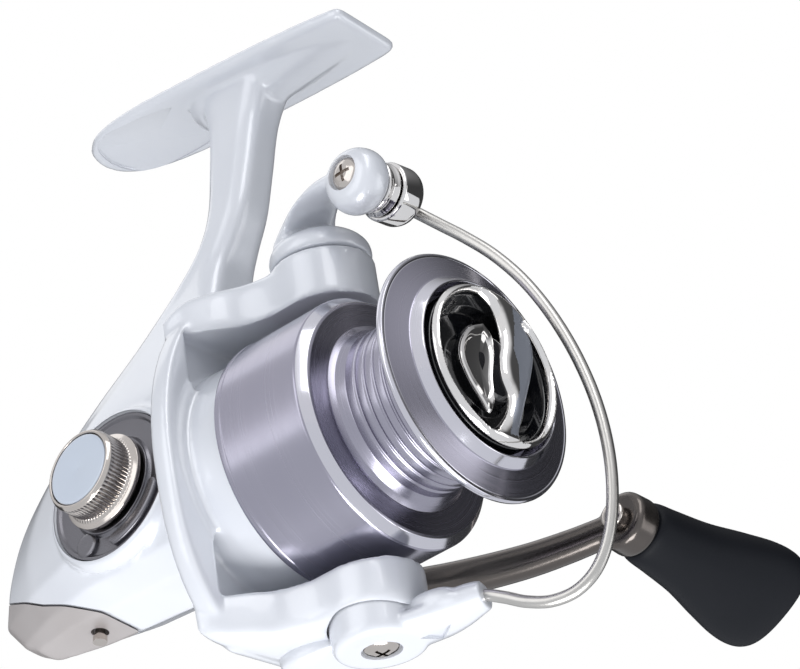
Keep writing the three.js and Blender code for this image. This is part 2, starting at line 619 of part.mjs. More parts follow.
// Domed foot on the rotor arm, a neck that twists over and the barrel that holds the line roller.
function bailArm() {
  const foot = turnZ([
    [bossTop + gap, 0], [bossTop + gap, bossRadius - 0.2], [34.2, 7.9], [36.6, 5.2], [37.8, 3], [37.8, 0],
  ], pivotX, 0, 20);
  const neck = loft([
    oval([pivotX + 0.5, 0.5, 35.2], [0.8, -2.4, 2.6], [3.6, 4.2, 0], 12),
    oval([pivotX + 5, -2.6, 37.4], [0.6, -2, 3], [2.6, 3.4, 0], 12),
    oval([pivotX + 10, -6.6, 38.8], [0, -0.4, 3.4], [1.2, 2, 0], 12),
    oval([rollerX, -6.9, rollerS + 0.4], [0, 0, 4.6], [0.8, 2, 0], 12),
  ]);
  const end = turnY([
    [armEnd.from, 0], [armEnd.from, 3.8], [-8.8, 4.8], [-7.6, 5.4], [-5.6, 5.5], [-4.7, 5.2], [armEnd.to, 4.6],
    [armEnd.to, 0],
  ], rollerX, rollerS, 20);
  return cut(
    join(foot, neck, end),
    turnZ(rodProfile(30, 35.1, 1.9), pivotX, 0, 12),
    turnY(rodProfile(-12, 0, 1.5), rollerX, rollerS, 12),
    turnY(rodProfile(-12, armEnd.from + 1, 3), rollerX, rollerS),
  );
}

function lowerBailArm() {
  const disc = turnZ([
    [-35.4, 0], [-35.4, 7], [-34.4, bossRadius - 0.2], [-lowerTop - gap, bossRadius - 0.2], [-lowerTop - gap, 0],
  ], pivotX, 0, 20);
  const lean = rad(bailLean);
  const tongue = loft([[2, -33.5, 4.2, 1.7], [9, -33.5, 4.4, 1.7], [14, -33.4, 3.8, 1.9], [20.6, -33, 2.6, 2.2]]
    .map(([reach, s, wide, thick]) => oval(
      [pivotX + reach * Math.cos(lean), reach * Math.sin(lean), s],
      [-wide * Math.sin(lean), wide * Math.cos(lean), 0], [0, 0, thick], 12,
    )));
  return cut(
    join(disc, tongue),
    turnZ(rodProfile(-40, -28, 1.9), pivotX, 0, 12),
    turnZ(rodProfile(-40, -34.3, 3.2), pivotX, 0),
  );
}

// Bail wire on a plane through the pivot axis: [distance from the axis, height along it].
function bailWire() {
  const lean = rad(bailLean);
  const route = [
    [18.4, 36], [20.6, 32.6], [23.8, 28.8], [28.6, 23.4], [33.6, 16.6], [38, 8], [40.8, -0.5], [42.2, -9], [42.2, -19],
    [40.8, -27.6], [37.6, -33.8], [33, -37], [27.6, -36.6], [23.2, -34.2], [21.1, -33.1],
  ];
  const points = route.map(([reach, s]) => [
    pivotX + reach * Math.cos(lean), reach * Math.sin(lean), s,
  ]);
  return rodAlong(points, 1, 6, 26);
}

add(rotorFrame, "bail_arm", bailArm(), pearlPaint());
add(rotorFrame, "lower_bail_arm", lowerBailArm(), pearlPaint());
add(rotorFrame, "bail_wire", bailWire(), steel());
add(rotorFrame, "bail_cone", cut(
  toSolid(turnY([
    [-0.9, 0], [-0.9, 4.5], [-0.5, 4.9], [2.8, 4.9], [4, 4.4], [4.7, 3], [4.9, 0],
  ], rollerX, rollerS)),
  turnY(rodProfile(-2, 2.6, 1.5), rollerX, rollerS, 12),
), nickel());
add(rotorFrame, "roller_screw", join(
  turnY([[-10, 0], [-9.8, 1.6], [-9.2, 2.7], [-8.8, 2.7], [-8.8, 0]], rollerX, rollerS),
  turnY(rodProfile(-9.1, 2.3, 1.2), rollerX, rollerS, 12),
), nickel());
add(rotorFrame, "line_roller", turnY([
  [-3.9, 2.5], [-3.9, 4.4], [-2.6, 3.8], [-1.2, 4.4], [-1.2, 2.5],
], rollerX, rollerS), nickel());
add(rotorFrame, "roller_bearing", turnY(ringProfile(-3.8, -1.3, 1.5, 2.2), rollerX, rollerS), steel());

// ---- spool and drag ----
const spoolBore = shaftRadius + gap;

function spool() {
  return turnX([
    [skirtRear, 20.9], [skirtRear, skirtRadius], [-18, skirtRadius - 0.1], [-16.5, 20.1], [-16.3, 15.6],
    [-13.8, arborRadius], [-3, arborRadius + 0.2], [-1.6, 16], [-1.2, 20.8], [-0.5, lipRadius],
    [0.2, 20], [1.6, 16.2], [3.2, 15], [3.2, 14.6], [-1.6, 14.4], [-1.6, 12.7], [-9, 12.7], [-9, spoolBore],
    [-19.9, spoolBore], [-19.9, 5.6], [-10.6, 6.4], [-10.6, 12.4], [-18.2, 13], [-18.2, 20.4],
  ], 24);
}

add(reel, "spool", spool(), anodised());
add(reel, "click_ratchet", cut(
  toSolid(extrudeX(toothed(16, 8, 9, true), -19.4, -18.2)),
  turnX(rodProfile(-20, -17, 6.8)),
), blackPlastic());
add(reel, "click_pawl", block(-19.4, -18.4, -1, 1, 9.5, 12.2), steel());

const dragStack = [
  ["drag_felt_1", -8.7, -7.9, feltGrey], ["drag_disc_1", -7.6, -7, steel],
  ["drag_felt_2", -6.7, -5.9, feltGrey], ["drag_disc_2", -5.6, -5, steel],
];
for (const [name, from, to, material] of dragStack) {
  add(reel, name, turnX(ringProfile(from, to, spoolBore + 0.1, 12.2)), material());
}
add(reel, "drag_clip", turnX(ringProfile(-4.6, -4.1, 10.8, 12.3)), steel());

// ---- drag knob ----
const knobRadius = 13.9;

// The knob's S-shaped grip bar across the chrome ring.
function knobBar() {
  const shape = new THREE.Shape();
  shape.moveTo(12.4, 3);
  shape.bezierCurveTo(8, 7.5, 3, 5.6, -1, 2.6);
  shape.bezierCurveTo(-5, 0, -8.5, 1, -12.4, 5);
  shape.lineTo(-12.8, -2.5);
  shape.bezierCurveTo(-8, -7.5, -3, -5.6, 1, -2.6);
  shape.bezierCurveTo(5, 0, 8.5, -1, 12.8, -5);
  shape.closePath();
  return new THREE.ExtrudeGeometry(shape, { depth: 1.5, bevelEnabled: false, curveSegments: 5 })
    .rotateY(Math.PI / 2).translate(4, 0, 0);
}

add(reel, "knob_shell", join(
  turnX([[3.8, 12], [3.8, 13.6], [4.4, knobRadius], [5, 13.6], [5.5, 12.6], [5.2, 11.9]], 24),
  knobBar(),
), nickel());
add(reel, "knob_insert", turnX([
  [-2.2, 2.7], [-2.2, 11.6], [-1.2, 12.2], [-1.2, 13.4], [3.5, 13.5], [3.5, 12], [0, 11.6], [-0.8, 10.4],
  [-0.8, 6], [3.4, 5.6], [3.4, 4.5], [-1.2, 4.5], [-1.2, 2.7],
], 20), blackPlastic());
add(reel, "drag_plate", turnX(ringProfile(-3.4, -2.6, spoolBore + 0.1, 9)), steel());

function dragSpring() {
  const turns = 2;
  const points = Array.from({ length: turns * 8 + 1 }, (_, i) => {
    const t = (i / 8) * 2 * Math.PI;
    return [-0.6 + i * 0.06, 3.35 * Math.cos(t), 3.35 * Math.sin(t)];
  });
  return rodAlong(points, 0.2, 4, turns * 10);
}

add(reel, "drag_spring", dragSpring(), steel());
add(reel, "drag_nut", turnX(ringProfile(1.6, 3.1, spoolBore, 4.1), 6), brass());

export default reel;
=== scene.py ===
# Open-face spinning reel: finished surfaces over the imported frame.
# Shapes are worked out in millimetres in the shaft frame: +X forward along the main shaft, +Y towards the
# handle, +Z towards the rod, x = 0 at the rim of the spool lip. The rotor frame is the same, turned 10
# degrees about X so that its Z is the bail pivot axis. settle() moves each finished mesh to the row frame.
import json
import math
import bmesh
import bpy
import numpy as np
from mathutils import Matrix


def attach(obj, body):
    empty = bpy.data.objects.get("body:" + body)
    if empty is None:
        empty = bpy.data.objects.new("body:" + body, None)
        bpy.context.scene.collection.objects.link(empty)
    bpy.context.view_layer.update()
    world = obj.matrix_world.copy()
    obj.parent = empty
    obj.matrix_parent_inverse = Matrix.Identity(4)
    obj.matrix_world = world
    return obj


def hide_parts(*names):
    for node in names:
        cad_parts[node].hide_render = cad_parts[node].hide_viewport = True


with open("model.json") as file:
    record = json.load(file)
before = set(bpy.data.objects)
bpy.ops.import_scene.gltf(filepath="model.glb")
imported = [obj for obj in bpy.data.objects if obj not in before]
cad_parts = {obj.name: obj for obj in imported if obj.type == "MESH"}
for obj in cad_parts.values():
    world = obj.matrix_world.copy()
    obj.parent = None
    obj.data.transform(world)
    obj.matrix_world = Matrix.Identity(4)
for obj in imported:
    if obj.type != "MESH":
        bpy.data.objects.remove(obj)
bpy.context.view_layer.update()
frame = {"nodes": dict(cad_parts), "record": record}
rowShift = np.array([52.5, 0.0, -83.84])  # shaft frame to row frame
rotorTilt = math.radians(10)
pivotX = -26.9  # bail pivot axis
crankX, crankZ = -68.4, 6.3
spindleX, spindleZ = -16.7, 4.9
rollerX, rollerS = -11.3, 38.2
coarse = 1.0

# ---- mesh helpers ----


def toRow(points, tilted=False):
    # millimetres in the shaft or rotor frame to metres in the row frame
    p = np.asarray(points, float).reshape(-1, 3)
    if tilted:
        c, s = math.cos(rotorTilt), math.sin(rotorTilt)
        p = np.column_stack([p[:, 0], p[:, 1] * c - p[:, 2] * s, p[:, 1] * s + p[:, 2] * c])
    return (p + rowShift) / 1000


def rounded(profile, radius, steps=4):
    # every corner of a closed polygon becomes a short parabola that starts and ends radius away from it
    p = np.asarray(profile, float)
    before, after = np.roll(p, 1, 0), np.roll(p, -1, 0)
    lengthIn = np.linalg.norm(before - p, axis=1, keepdims=True)
    lengthOut = np.linalg.norm(after - p, axis=1, keepdims=True)
    cut = np.minimum(radius, 0.45 * np.minimum(lengthIn, lengthOut))
    start = p + (before - p) * cut / lengthIn
    end = p + (after - p) * cut / lengthOut
    t = np.linspace(0, 1, steps)[None, :, None]
    curve = start[:, None] * (1 - t) ** 2 + 2 * p[:, None] * t * (1 - t) + end[:, None] * t**2
    return curve.reshape(-1, p.shape[1])


def smoothCurve(points, count):
    # Catmull-Rom curve through the rows, sampled evenly in row number
    p = np.asarray(points, float)
    p = np.vstack([2 * p[0] - p[1], p, 2 * p[-1] - p[-2]])
    u = np.linspace(0, len(p) - 3, count)
    i = np.minimum(u.astype(int), len(p) - 4)
    t = (u - i)[:, None]
    a, b, c, d = p[i], p[i + 1], p[i + 2], p[i + 3]
    return 0.5 * (2 * b + (c - a) * t + (2 * a - 5 * b + 4 * c - d) * t**2 + (3 * b - a - 3 * c + d) * t**3)


def skin(rings, wrap=False, flat=False):
    # quads between neighbouring closed rings; the ends get fans or flat polygons, or the last joins the first
    rings = np.asarray(rings, float)
    rows, count = rings.shape[:2]
    r = np.arange(rows if wrap else rows - 1)[:, None]
    i = np.arange(count)[None, :]
    nextRow, nextCol = (r + 1) % rows, (i + 1) % count
    corners = [r * count + i, r * count + nextCol, nextRow * count + nextCol, nextRow * count + i + 0 * r]
    quads = np.stack(corners, -1)
    verts = rings.reshape(-1, 3)
    faces = quads.reshape(-1, 4).tolist()
    last = (rows - 1) * count
    if flat:
        faces += [list(range(count))[::-1], list(range(last, last + count))]
    elif not wrap:
        verts = np.vstack([verts, rings[0].mean(0), rings[-1].mean(0)])
        j, k = np.arange(count), (np.arange(count) + 1) % count
        firstFan = np.column_stack([np.full(count, rows * count), k, j])
        lastFan = np.column_stack([np.full(count, rows * count + 1), last + j, last + k])
        faces += np.stack([firstFan, lastFan], 1).reshape(-1, 3).tolist()
    return verts, faces


def turned(profile, axis="x", at=(0, 0), segments=128, fillet=0.15, wave=None):
    # closed profile of [along, radius] carried round an axis; wave(angle, along) adds to the radius
    p = rounded(profile, fillet)
    angle = np.linspace(0, 2 * math.pi, segments, endpoint=False)[None, :]
    along = p[:, :1] + 0 * angle
    radius = np.maximum(p[:, 1:], 0) + (wave(angle, p[:, :1]) if wave else 0 * angle)
    u, v = radius * np.cos(angle), radius * np.sin(angle)
    order = {"x": [along, u + at[0], v + at[1]], "y": [u + at[0], along, v + at[1]],
             "z": [u + at[0], v + at[1], along]}
    return skin(np.stack(order[axis], -1), wrap=True)


def oval(centre, halfA, halfB, count=48, power=1.0):
    # ring of points: centre + |cos|^power halfA + |sin|^power halfB, squarer as power falls
    t = np.linspace(0, 2 * math.pi, count, endpoint=False)[:, None]
    c = np.sign(np.cos(t)) * np.abs(np.cos(t)) ** power
    s = np.sign(np.sin(t)) * np.abs(np.sin(t)) ** power
    return np.asarray(centre) + c * np.asarray(halfA) + s * np.asarray(halfB)


def tube(points, radius, sides, count):
    # round section carried along a smooth path, turned with it by parallel transport
    path = smoothCurve(points, count)
    tangent = np.gradient(path, axis=0)
    tangent /= np.linalg.norm(tangent, axis=1, keepdims=True)
    normal = np.cross(tangent[0], [0.3, 0.2, 1.0])
    rings = []
    for place, along in zip(path, tangent):
        normal = normal - along * (normal @ along)
        normal /= np.linalg.norm(normal)
        rings.append(oval(place, normal * radius, np.cross(along, normal) * radius, sides))
    return skin(rings)


def prism(outline, low, high, axis="x"):
    # flat polygon carried straight along an axis
    a, b = np.asarray(outline, float).T
    rings = []
    for level in (low, high):
        c = np.full_like(a, level)
        rings.append(np.column_stack({"x": [c, a, b], "y": [a, c, b], "z": [a, b, c]}[axis]))
    return skin(rings, flat=True)


def shape(name, *parts):
    # one object from one or more closed skins
    mesh = bpy.data.meshes.new(name)
    verts, faces, base = [], [], 0
    for partVerts, partFaces in parts:
        verts.append(partVerts)
        faces.extend([[i + base for i in face] for face in partFaces])
        base += len(partVerts)
    mesh.from_pydata(np.vstack(verts).tolist(), [], faces)
    tidy = bmesh.new()
    tidy.from_mesh(mesh)
    bmesh.ops.remove_doubles(tidy, verts=tidy.verts, dist=1e-4)
    bmesh.ops.dissolve_degenerate(tidy, edges=tidy.edges, dist=1e-5)
    bmesh.ops.recalc_face_normals(tidy, faces=tidy.faces)
    tidy.to_mesh(mesh)
    tidy.free()
    obj = bpy.data.objects.new(name, mesh)
    bpy.context.scene.collection.objects.link(obj)
    return obj


def bake(obj):
    # applies the object's modifiers to its mesh
    bpy.context.view_layer.update()
    made = bpy.data.meshes.new_from_object(obj.evaluated_get(bpy.context.evaluated_depsgraph_get()))
    old = obj.data
    obj.modifiers.clear()
    obj.data = made
    bpy.data.meshes.remove(old)
    return obj


def carve(obj, *tools, how="DIFFERENCE"):
    # cuts each tool away in turn, or keeps what lies inside it; a tool is a closed skin or an object
    for tool in tools:
        cutter = tool if isinstance(tool, bpy.types.Object) else shape("tool", tool)
        modifier = obj.modifiers.new("carve", "BOOLEAN")
        modifier.operation = how
        modifier.solver = "EXACT"
        modifier.object = cutter
        bake(obj)
        if cutter is not tool:
            bpy.data.objects.remove(cutter)
    return obj


def remesh(obj, voxel):
    modifier = obj.modifiers.new("voxels", "REMESH")
    modifier.mode = "VOXEL"
    modifier.voxel_size = voxel * coarse
    return bake(obj)


def soften(obj, rounds):
    # each round moves every vertex halfway to the mean of its neighbours
    modifier = obj.modifiers.new("soften", "SMOOTH")
    modifier.iterations = rounds
    modifier.factor = 0.5
    return bake(obj)


def cast(name, parts, voids=(), voxel=0.4, rounds=6):
    # closed skins melted into one casting with small fillets where they meet
    obj = remesh(shape(name, *parts), voxel)
    if voids:
        carve(obj, *voids)
        remesh(obj, voxel)
    return soften(obj, rounds)


def settle(obj, material, body, replaced, tilted=False, sharp=32):
    # moves a finished mesh to the row frame, shades it, hangs it under its body's empty and hides the CAD
    # nodes it replaces
    mesh = obj.data
    co = np.empty(len(mesh.vertices) * 3)
    mesh.vertices.foreach_get("co", co)
    mesh.vertices.foreach_set("co", toRow(co, tilted).ravel())
    mesh.materials.clear()
    for one in material if isinstance(material, list) else [material]:
        mesh.materials.append(one)
    mesh.polygons.foreach_set("use_smooth", np.ones(len(mesh.polygons), bool))
    mesh.set_sharp_from_angle(angle=math.radians(sharp))
    mesh.update()
    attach(obj, body)
    if replaced:
        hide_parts(*replaced)
    return obj


# ---- materials ----


def linear(hexColour):
    # sRGB hex to linear RGBA
    parts = [int(hexColour[i:i + 2], 16) / 255 for i in (1, 3, 5)]
    return [c / 12.92 if c <= 0.04045 else ((c + 0.055) / 1.055) ** 2.4 for c in parts] + [1]


def addNode(tree, kind, inputs=None, **settings):
    # an input is given a value, or linked when it is given a socket
    made = tree.nodes.new(kind)
    for key, value in settings.items():
        setattr(made, key, value)
    for key, value in (inputs or {}).items():
        if isinstance(value, bpy.types.NodeSocket):
            tree.links.new(value, made.inputs[key])
        else:
            made.inputs[key].default_value = value
    return made


def surface(name, light, dark, roughness, metallic=0.0, grain=0.5, bump=0.05, depth=0.01, turnedAt=None,
            sockets=None):
    # two close tones, a roughness band and a fine bump, all from one noise whose grain is in millimetres;
    # turnedAt gives the row-frame Y and Z of a turning axis along X, and draws the noise out round it
    made = bpy.data.materials.new(name)
    made.use_nodes = True
    tree = made.node_tree
    shader = tree.nodes["Principled BSDF"]
    place = addNode(tree, "ShaderNodeTexCoord").outputs["Object"]
    if turnedAt:
        moved = addNode(tree, "ShaderNodeVectorMath", {0: place, 1: (0, turnedAt[0], turnedAt[1])},
                        operation="SUBTRACT").outputs[0]
        split = addNode(tree, "ShaderNodeSeparateXYZ", {0: moved})
        across = addNode(tree, "ShaderNodeCombineXYZ", {1: split.outputs[1], 2: split.outputs[2]}).outputs[0]
        radius = addNode(tree, "ShaderNodeVectorMath", {0: across}, operation="LENGTH").outputs["Value"]
        place = addNode(tree, "ShaderNodeCombineXYZ", {0: split.outputs[0], 1: radius}).outputs[0]
    fine = addNode(tree, "ShaderNodeTexNoise", {"Vector": place, "Scale": 1000 / grain, "Detail": 3.0})
    wide = addNode(tree, "ShaderNodeTexNoise", {"Vector": place, "Scale": 90.0, "Detail": 2.0})
    tone = addNode(tree, "ShaderNodeMix", {0: wide.outputs[0], 6: linear(light), 7: linear(dark)},
                   data_type="RGBA")
    rough = addNode(tree, "ShaderNodeMapRange", {0: fine.outputs[0], 1: 0.3, 2: 0.7, 3: roughness[0],
                                                4: roughness[1]})
    relief = addNode(tree, "ShaderNodeBump", {"Height": fine.outputs[0], "Strength": bump,
                                              "Distance": depth / 1000})
    tree.links.new(tone.outputs[2], shader.inputs["Base Color"])
    tree.links.new(rough.outputs[0], shader.inputs["Roughness"])
    tree.links.new(relief.outputs[0], shader.inputs["Normal"])
    shader.inputs["Metallic"].default_value = metallic
    for key, value in (sockets or {}).items():
        shader.inputs[key].default_value = value
    return made


shaftAxis = (0, -0.08384)  # row-frame y and z of the main shaft, metres
clearCoat = {"Coat Weight": 0.8, "Coat Roughness": 0.06}
# pearl lacquer over a casting: milky white with a cool cast and a clear gloss coat
pearlLacquer = surface("pearlLacquer", "#D8DADF", "#CDD0D7", (0.3, 0.4), 0.2, 0.12, 0.03, 0.004,
                       sockets=clearCoat)
# champagne lacquer, satin: metal flake under a thin matte coat
champagneLacquer = surface("champagneLacquer", "#C4BFBE", "#B2ACAA", (0.34, 0.46), 0.7, 0.15, 0.08, 0.006)
# turned and anodised aluminium: cool grey with fine turning lines round the shaft
turnedAnodising = surface("turnedAnodising", "#A5A3B0", "#9D9BA9", (0.2, 0.28), 1.0, 0.22, 0.03, 0.002,
                          turnedAt=shaftAxis)
# diamond-cut edge of the same aluminium: brighter, nearly a mirror
polishedLip = surface("polishedLip", "#D2D1D9", "#CBCAD3", (0.1, 0.15), 1.0, 0.2, 0.02, 0.001,
                      turnedAt=shaftAxis)
# nickel plate over brass: bright and slightly warm
nickelPlate = surface("nickelPlate", "#C9C3BE", "#BDB6B0", (0.1, 0.14), 1.0, 0.1, 0.01, 0.0005)
# satin nickel: darker, with a broad soft highlight
satinNickel = surface("satinNickel", "#7C7B80", "#717075", (0.24, 0.32), 1.0, 0.1, 0.06, 0.004)
# chrome plate on a moulding: a mirror with a trace of ripple
chromePlate = surface("chromePlate", "#E6E4E2", "#DDDBDA", (0.03, 0.06), 1.0, 2.5, 0.02, 0.01)
# satin chrome plate on a moulding: a cool grey sheen beside the mirror
satinPlate = surface("satinPlate", "#A3A8B3", "#989DA9", (0.34, 0.42), 0.75, 0.1, 0.05, 0.004)
# drawn stainless wire: faint lines, satin
drawnSteel = surface("drawnSteel", "#C4C2BE", "#B9B7B4", (0.28, 0.34), 1.0, 0.6, 0.01, 0.001)
# ground steel of the inner parts: plain grey with a fine scratch
groundSteel = surface("groundSteel", "#A9ABAD", "#989A9D", (0.25, 0.4), 1.0, 0.25, 0.05, 0.003)
# machined brass: warm yellow with fine tool marks
machinedBrass = surface("machinedBrass", "#C9A45C", "#B8924A", (0.2, 0.34), 1.0, 0.25, 0.1, 0.006)
# die-cast zinc: dull grey with a coarse grain
castZinc = surface("castZinc", "#9EA1A5", "#85888C", (0.4, 0.58), 0.9, 0.4, 0.2, 0.02)
# gloss black moulding: deep black with sharp reflections
blackMoulding = surface("blackMoulding", "#0C0D10", "#121317", (0.06, 0.14), 0.0, 0.8, 0.03, 0.006,
                        sockets={"Coat Weight": 0.5, "Coat Roughness": 0.03})
# soft-touch rubber paint: a matte film with a fine tooth
softTouch = surface("softTouch", "#121419", "#0E1015", (0.48, 0.58), 0.0, 0.18, 0.1, 0.006,
                    sockets={"Specular IOR Level": 0.12})
# gunmetal paint over metal: dark warm grey, smooth, with a tight highlight
gunmetal = surface("gunmetal", "#625D5A", "#595451", (0.2, 0.24), 0.95, 0.08, 0.01, 0.0005)
# pressed felt: warm grey, matte and fuzzy
pressedFelt = surface("pressedFelt", "#7A766E", "#5F5B54", (0.85, 0.98), 0.0, 0.3, 0.6, 0.08)
# pale lacquered inlay: flat blue-grey under a gloss coat
paleInlay = surface("paleInlay", "#C2CAD6", "#BAC3D0", (0.22, 0.26), 0.0, 0.05, 0.01, 0.001,
                    sockets={"Coat Weight": 0.4, "Coat Roughness": 0.1})
print("materials ready")

# ---- body, stem and foot ----
bodyParts = {"footLean": 5.46, "cornerRadius": 1.6}  # degrees, millimetres
# height, front x, front half width, middle x, middle half width, rear x, rear half width, tilt
bodyLevels = np.array([
    [-11.2, -49.5, 4.9, -76, 4.2, -96, 2.4, 0.055],
    [-8, -49.5, 9.6, -78, 8.4, -99.5, 2.8, 0.03],
    [-2, -49.5, 11.5, -81, 10.8, -103.2, 3.2, 0],
    [6, -49.5, 11.7, -83, 11.3, -102, 3.6, 0],
    [14, -49.5, 11.7, -81, 11, -98.6, 3.9, 0],
    [22, -49.8, 11, -77, 9.8, -91.8, 4, 0],
    [29, -50.3, 9.2, -71, 8.2, -83.6, 4.1, 0],
    [36, -51.2, 7.2, -64.5, 6.6, -73.4, 4.1, 0],
    [41, -51.8, 6, -60.6, 5.6, -67, 4, 0],
    [46, -51.4, 5.2, -57, 5, -61.2, 3.8, 0],
    [51, -49.4, 4.6, -53.6, 4.6, -57.2, 3.6, 0],
    [57, -47, 4.4, -51.2, 4.4, -55.2, 3.5, 0],
    [65, -45.5, 4.3, -50.2, 4.3, -54.9, 3.4, 0],
    [74, -44, 4.3, -49.6, 4.4, -55, 3.5, 0],
    [82, -41, 4.8, -49, 5, -57, 3.8, 0],
])


def bodyRing(level):
    # outline of one level: five corners a side, each rounded, mirrored about the middle plane
    z, front, frontHalf, middle, middleHalf, rear, rearHalf, lean = level
    side = np.array([
        [rear, rearHalf], [(rear + middle) / 2, (rearHalf + middleHalf) / 2 + 0.7], [middle, middleHalf],
        [front - 2.2, frontHalf], [front, frontHalf - 1.5],
    ])
    outline = rounded(np.vstack([side * [1, -1], side[::-1]]), bodyParts["cornerRadius"], 5)
    return np.column_stack([outline, z + lean * (front - outline[:, 0])])


def bodySkin():
    lower = [bodyLevels[0] + (bodyLevels[1] - bodyLevels[0]) * t for t in np.linspace(0, 1, 6)[:-1]]
    lower += [bodyLevels[1] + (bodyLevels[2] - bodyLevels[1]) * t for t in np.linspace(0, 1, 8)[:-1]]
    upper = smoothCurve(bodyLevels[2:], 120)
    return skin([bodyRing(level) for level in [*lower, *upper]])


def footOutline(inset):
    # half width along the foot: squared front, rounded tail
    u = np.array([31.9, 31.6, 29.5, 20, 8, -6, -17, -26, -30.5, -31.9]) * (1 - inset / 40)
    v = np.array([5.2, 6.6, 7.25, 7.9, 8.2, 8.25, 8, 6.6, 4, 1.4]) - inset
    half = smoothCurve(np.column_stack([u, np.maximum(v, 0.2)]), 60)
    return np.vstack([half, half[::-1] * [1, -1]])


def onFoot(part):
    # foot frame to shaft frame
    verts, faces = part
    a = math.radians(bodyParts["footLean"])
    x = verts[:, 0] * math.cos(a) + verts[:, 2] * math.sin(a) - rowShift[0]
    z = -verts[:, 0] * math.sin(a) + verts[:, 2] * math.cos(a) - rowShift[2]
    return np.column_stack([x, verts[:, 1], z]), faces


def footPlate():
    # stacked outlines, [height, inset], that round both edges of the plate
    steps = [(-2.2, 1.1), (-2.05, 0.55), (-1.7, 0.15), (-1.2, 0),
             (-0.7, 0), (-0.35, 0.15), (-0.1, 0.5), (0, 1.0)]
    return onFoot(skin([np.column_stack([footOutline(inset), np.full(120, z)]) for z, inset in steps]))


def footRib():
    # half-round rib under the foot, from the stem forward, cut flat below the rod side
    stations = smoothCurve([[-7, 3.4, 3.4], [-3, 4.8, 5.4], [5, 5, 5.2], [12, 4.8, 3.8], [20, 4.2, 2.3],
                            [26, 3.6, 1.4], [30, 3, 0.8]], 40)
    rings = [oval([u, 0, -1.2], [0, width, 0], [0, 0, depth], 40) for u, width, depth in stations]
    rings = [np.column_stack([r[:, :2], np.minimum(r[:, 2], -0.4)]) for r in rings]
    return onFoot(skin(rings))


# tail cap's side outline, [x, z]; the seam runs along its first three points
tailSeam = [[-112, 8], [-90, -4.6], [-75.6, -11], [-75.6, -30], [-112, -30]]


def tailWedge(shift):
    return prism(np.array(tailSeam) + [shift * 0.5, shift], -30, 30, "y")


def coverBlock(start):
    # everything on the handle side of the plane y = start, below the stem
    return prism([[-120, -30], [-54.3, -30], [-54.3, 31.2], [-120, 31.2]], start, 30, "y")


def pan():
    # recess for the side plate: a flat floor with a stepped rim
    return turned([[-30, 0], [-30, 13.15], [-12.4, 13.15], [-12.1, 12.95], [-11.2, 12.95], [-11.2, 0]], "y",
                  (crankX, crankZ), fillet=0.1)


def gearHollow():
    # room in the castings for the gears and the slider at both ends of its stroke
    gears = [[-88.6, -4.5], [-84, -7.4], [-76, -8], [-58, -8], [-58, 5], [-88.6, 5]]
    slider = [[-88.2, -4.2], [-73, -4.2], [-73, 4.6], [-88.2, 4.6]]
    return [prism(gears, -3.4, 15.6, "z"), prism(slider, -7, 0, "z")]


whole = cast("wholeBody", [
    bodySkin(), footPlate(), footRib(),
    turned([[-56, 0], [-56, 11], [-44.8, 11], [-44.8, 0]], fillet=0.6),
    turned([[-10, 0], [-10, 14.6], [-11.6, 14.2], [-12.7, 13.75], [-12.7, 0]], "y",
           (crankX, crankZ), fillet=0.5),
], voxel=0.42, rounds=7)
print("body cast", len(whole.data.polygons))


def copyOf(obj, name):
    twin = bpy.data.objects.new(name, obj.data.copy())
    bpy.context.scene.collection.objects.link(twin)
    return twin


coverRaw = carve(copyOf(whole, "sideCover"), coverBlock(5.15), how="INTERSECT")
carve(coverRaw, tailWedge(0.3), turned([[4, 0], [4, 3.3], [30, 3.3], [30, 0]], "y", (crankX, crankZ)))
settle(coverRaw, pearlLacquer, "body", ["side_cover"])
tailRaw = carve(copyOf(whole, "tailCap"), tailWedge(0), how="INTERSECT")
carve(tailRaw, *gearHollow(), turned([[-20, 0], [-20, 1.5], [-6, 1.5], [-6, 0]], "z", (-83.7, 0)))
settle(tailRaw, champagneLacquer, "body", ["tail_cap"])
leverSlot = prism([[-58.6, -5.6], [-54.4, -5.6], [-54.4, 5.6], [-58.6, 5.6]], -16, -8.2, "z")
rearPanel = onFoot(skin([np.column_stack([footOutline(inset) * [0.34, 1] - [19.2, 0], np.full(120, z)])
                         for z, inset in ((-4, 1.5), (-1.95, 1.5), (-1.8, 1.8))]))
carve(whole, *gearHollow(), tailWedge(0.3), coverBlock(4.85), pan(), leverSlot,
      turned([[-50, 0], [-50, 4], [-40, 4], [-40, 0]]), rearPanel)
whole.name = "bodyCasting"
settle(whole, pearlLacquer, "body", ["body_housing"])
print("body parts done")

# ---- side plate, screw cap and its disc ----
plateParts = {"ribRadius": 10.6, "ribFrom": -88, "ribTo": -18}  # millimetres, degrees
capParts = {"knurls": 64, "knurlDepth": 0.32}


def crescentRib():
    # raised rib round the lower front of the plate; its width rises and falls with a sine
    a = np.radians(np.linspace(plateParts["ribFrom"], plateParts["ribTo"], 40))
    radius = plateParts["ribRadius"]
    spine = np.column_stack([crankX + radius * np.cos(a), 0 * a, crankZ + radius * np.sin(a)])
    out = np.column_stack([np.cos(a), 0 * a, np.sin(a)])
    width = 1.15 * np.minimum(1, 3.2 * np.sin(np.linspace(0.05, math.pi - 0.05, 40)) ** 0.7)
    return skin([oval(p + [0, -12.2, 0], d * w, [0, -0.75, 0], 24, 0.6)
                 for p, d, w in zip(spine, out, width)])


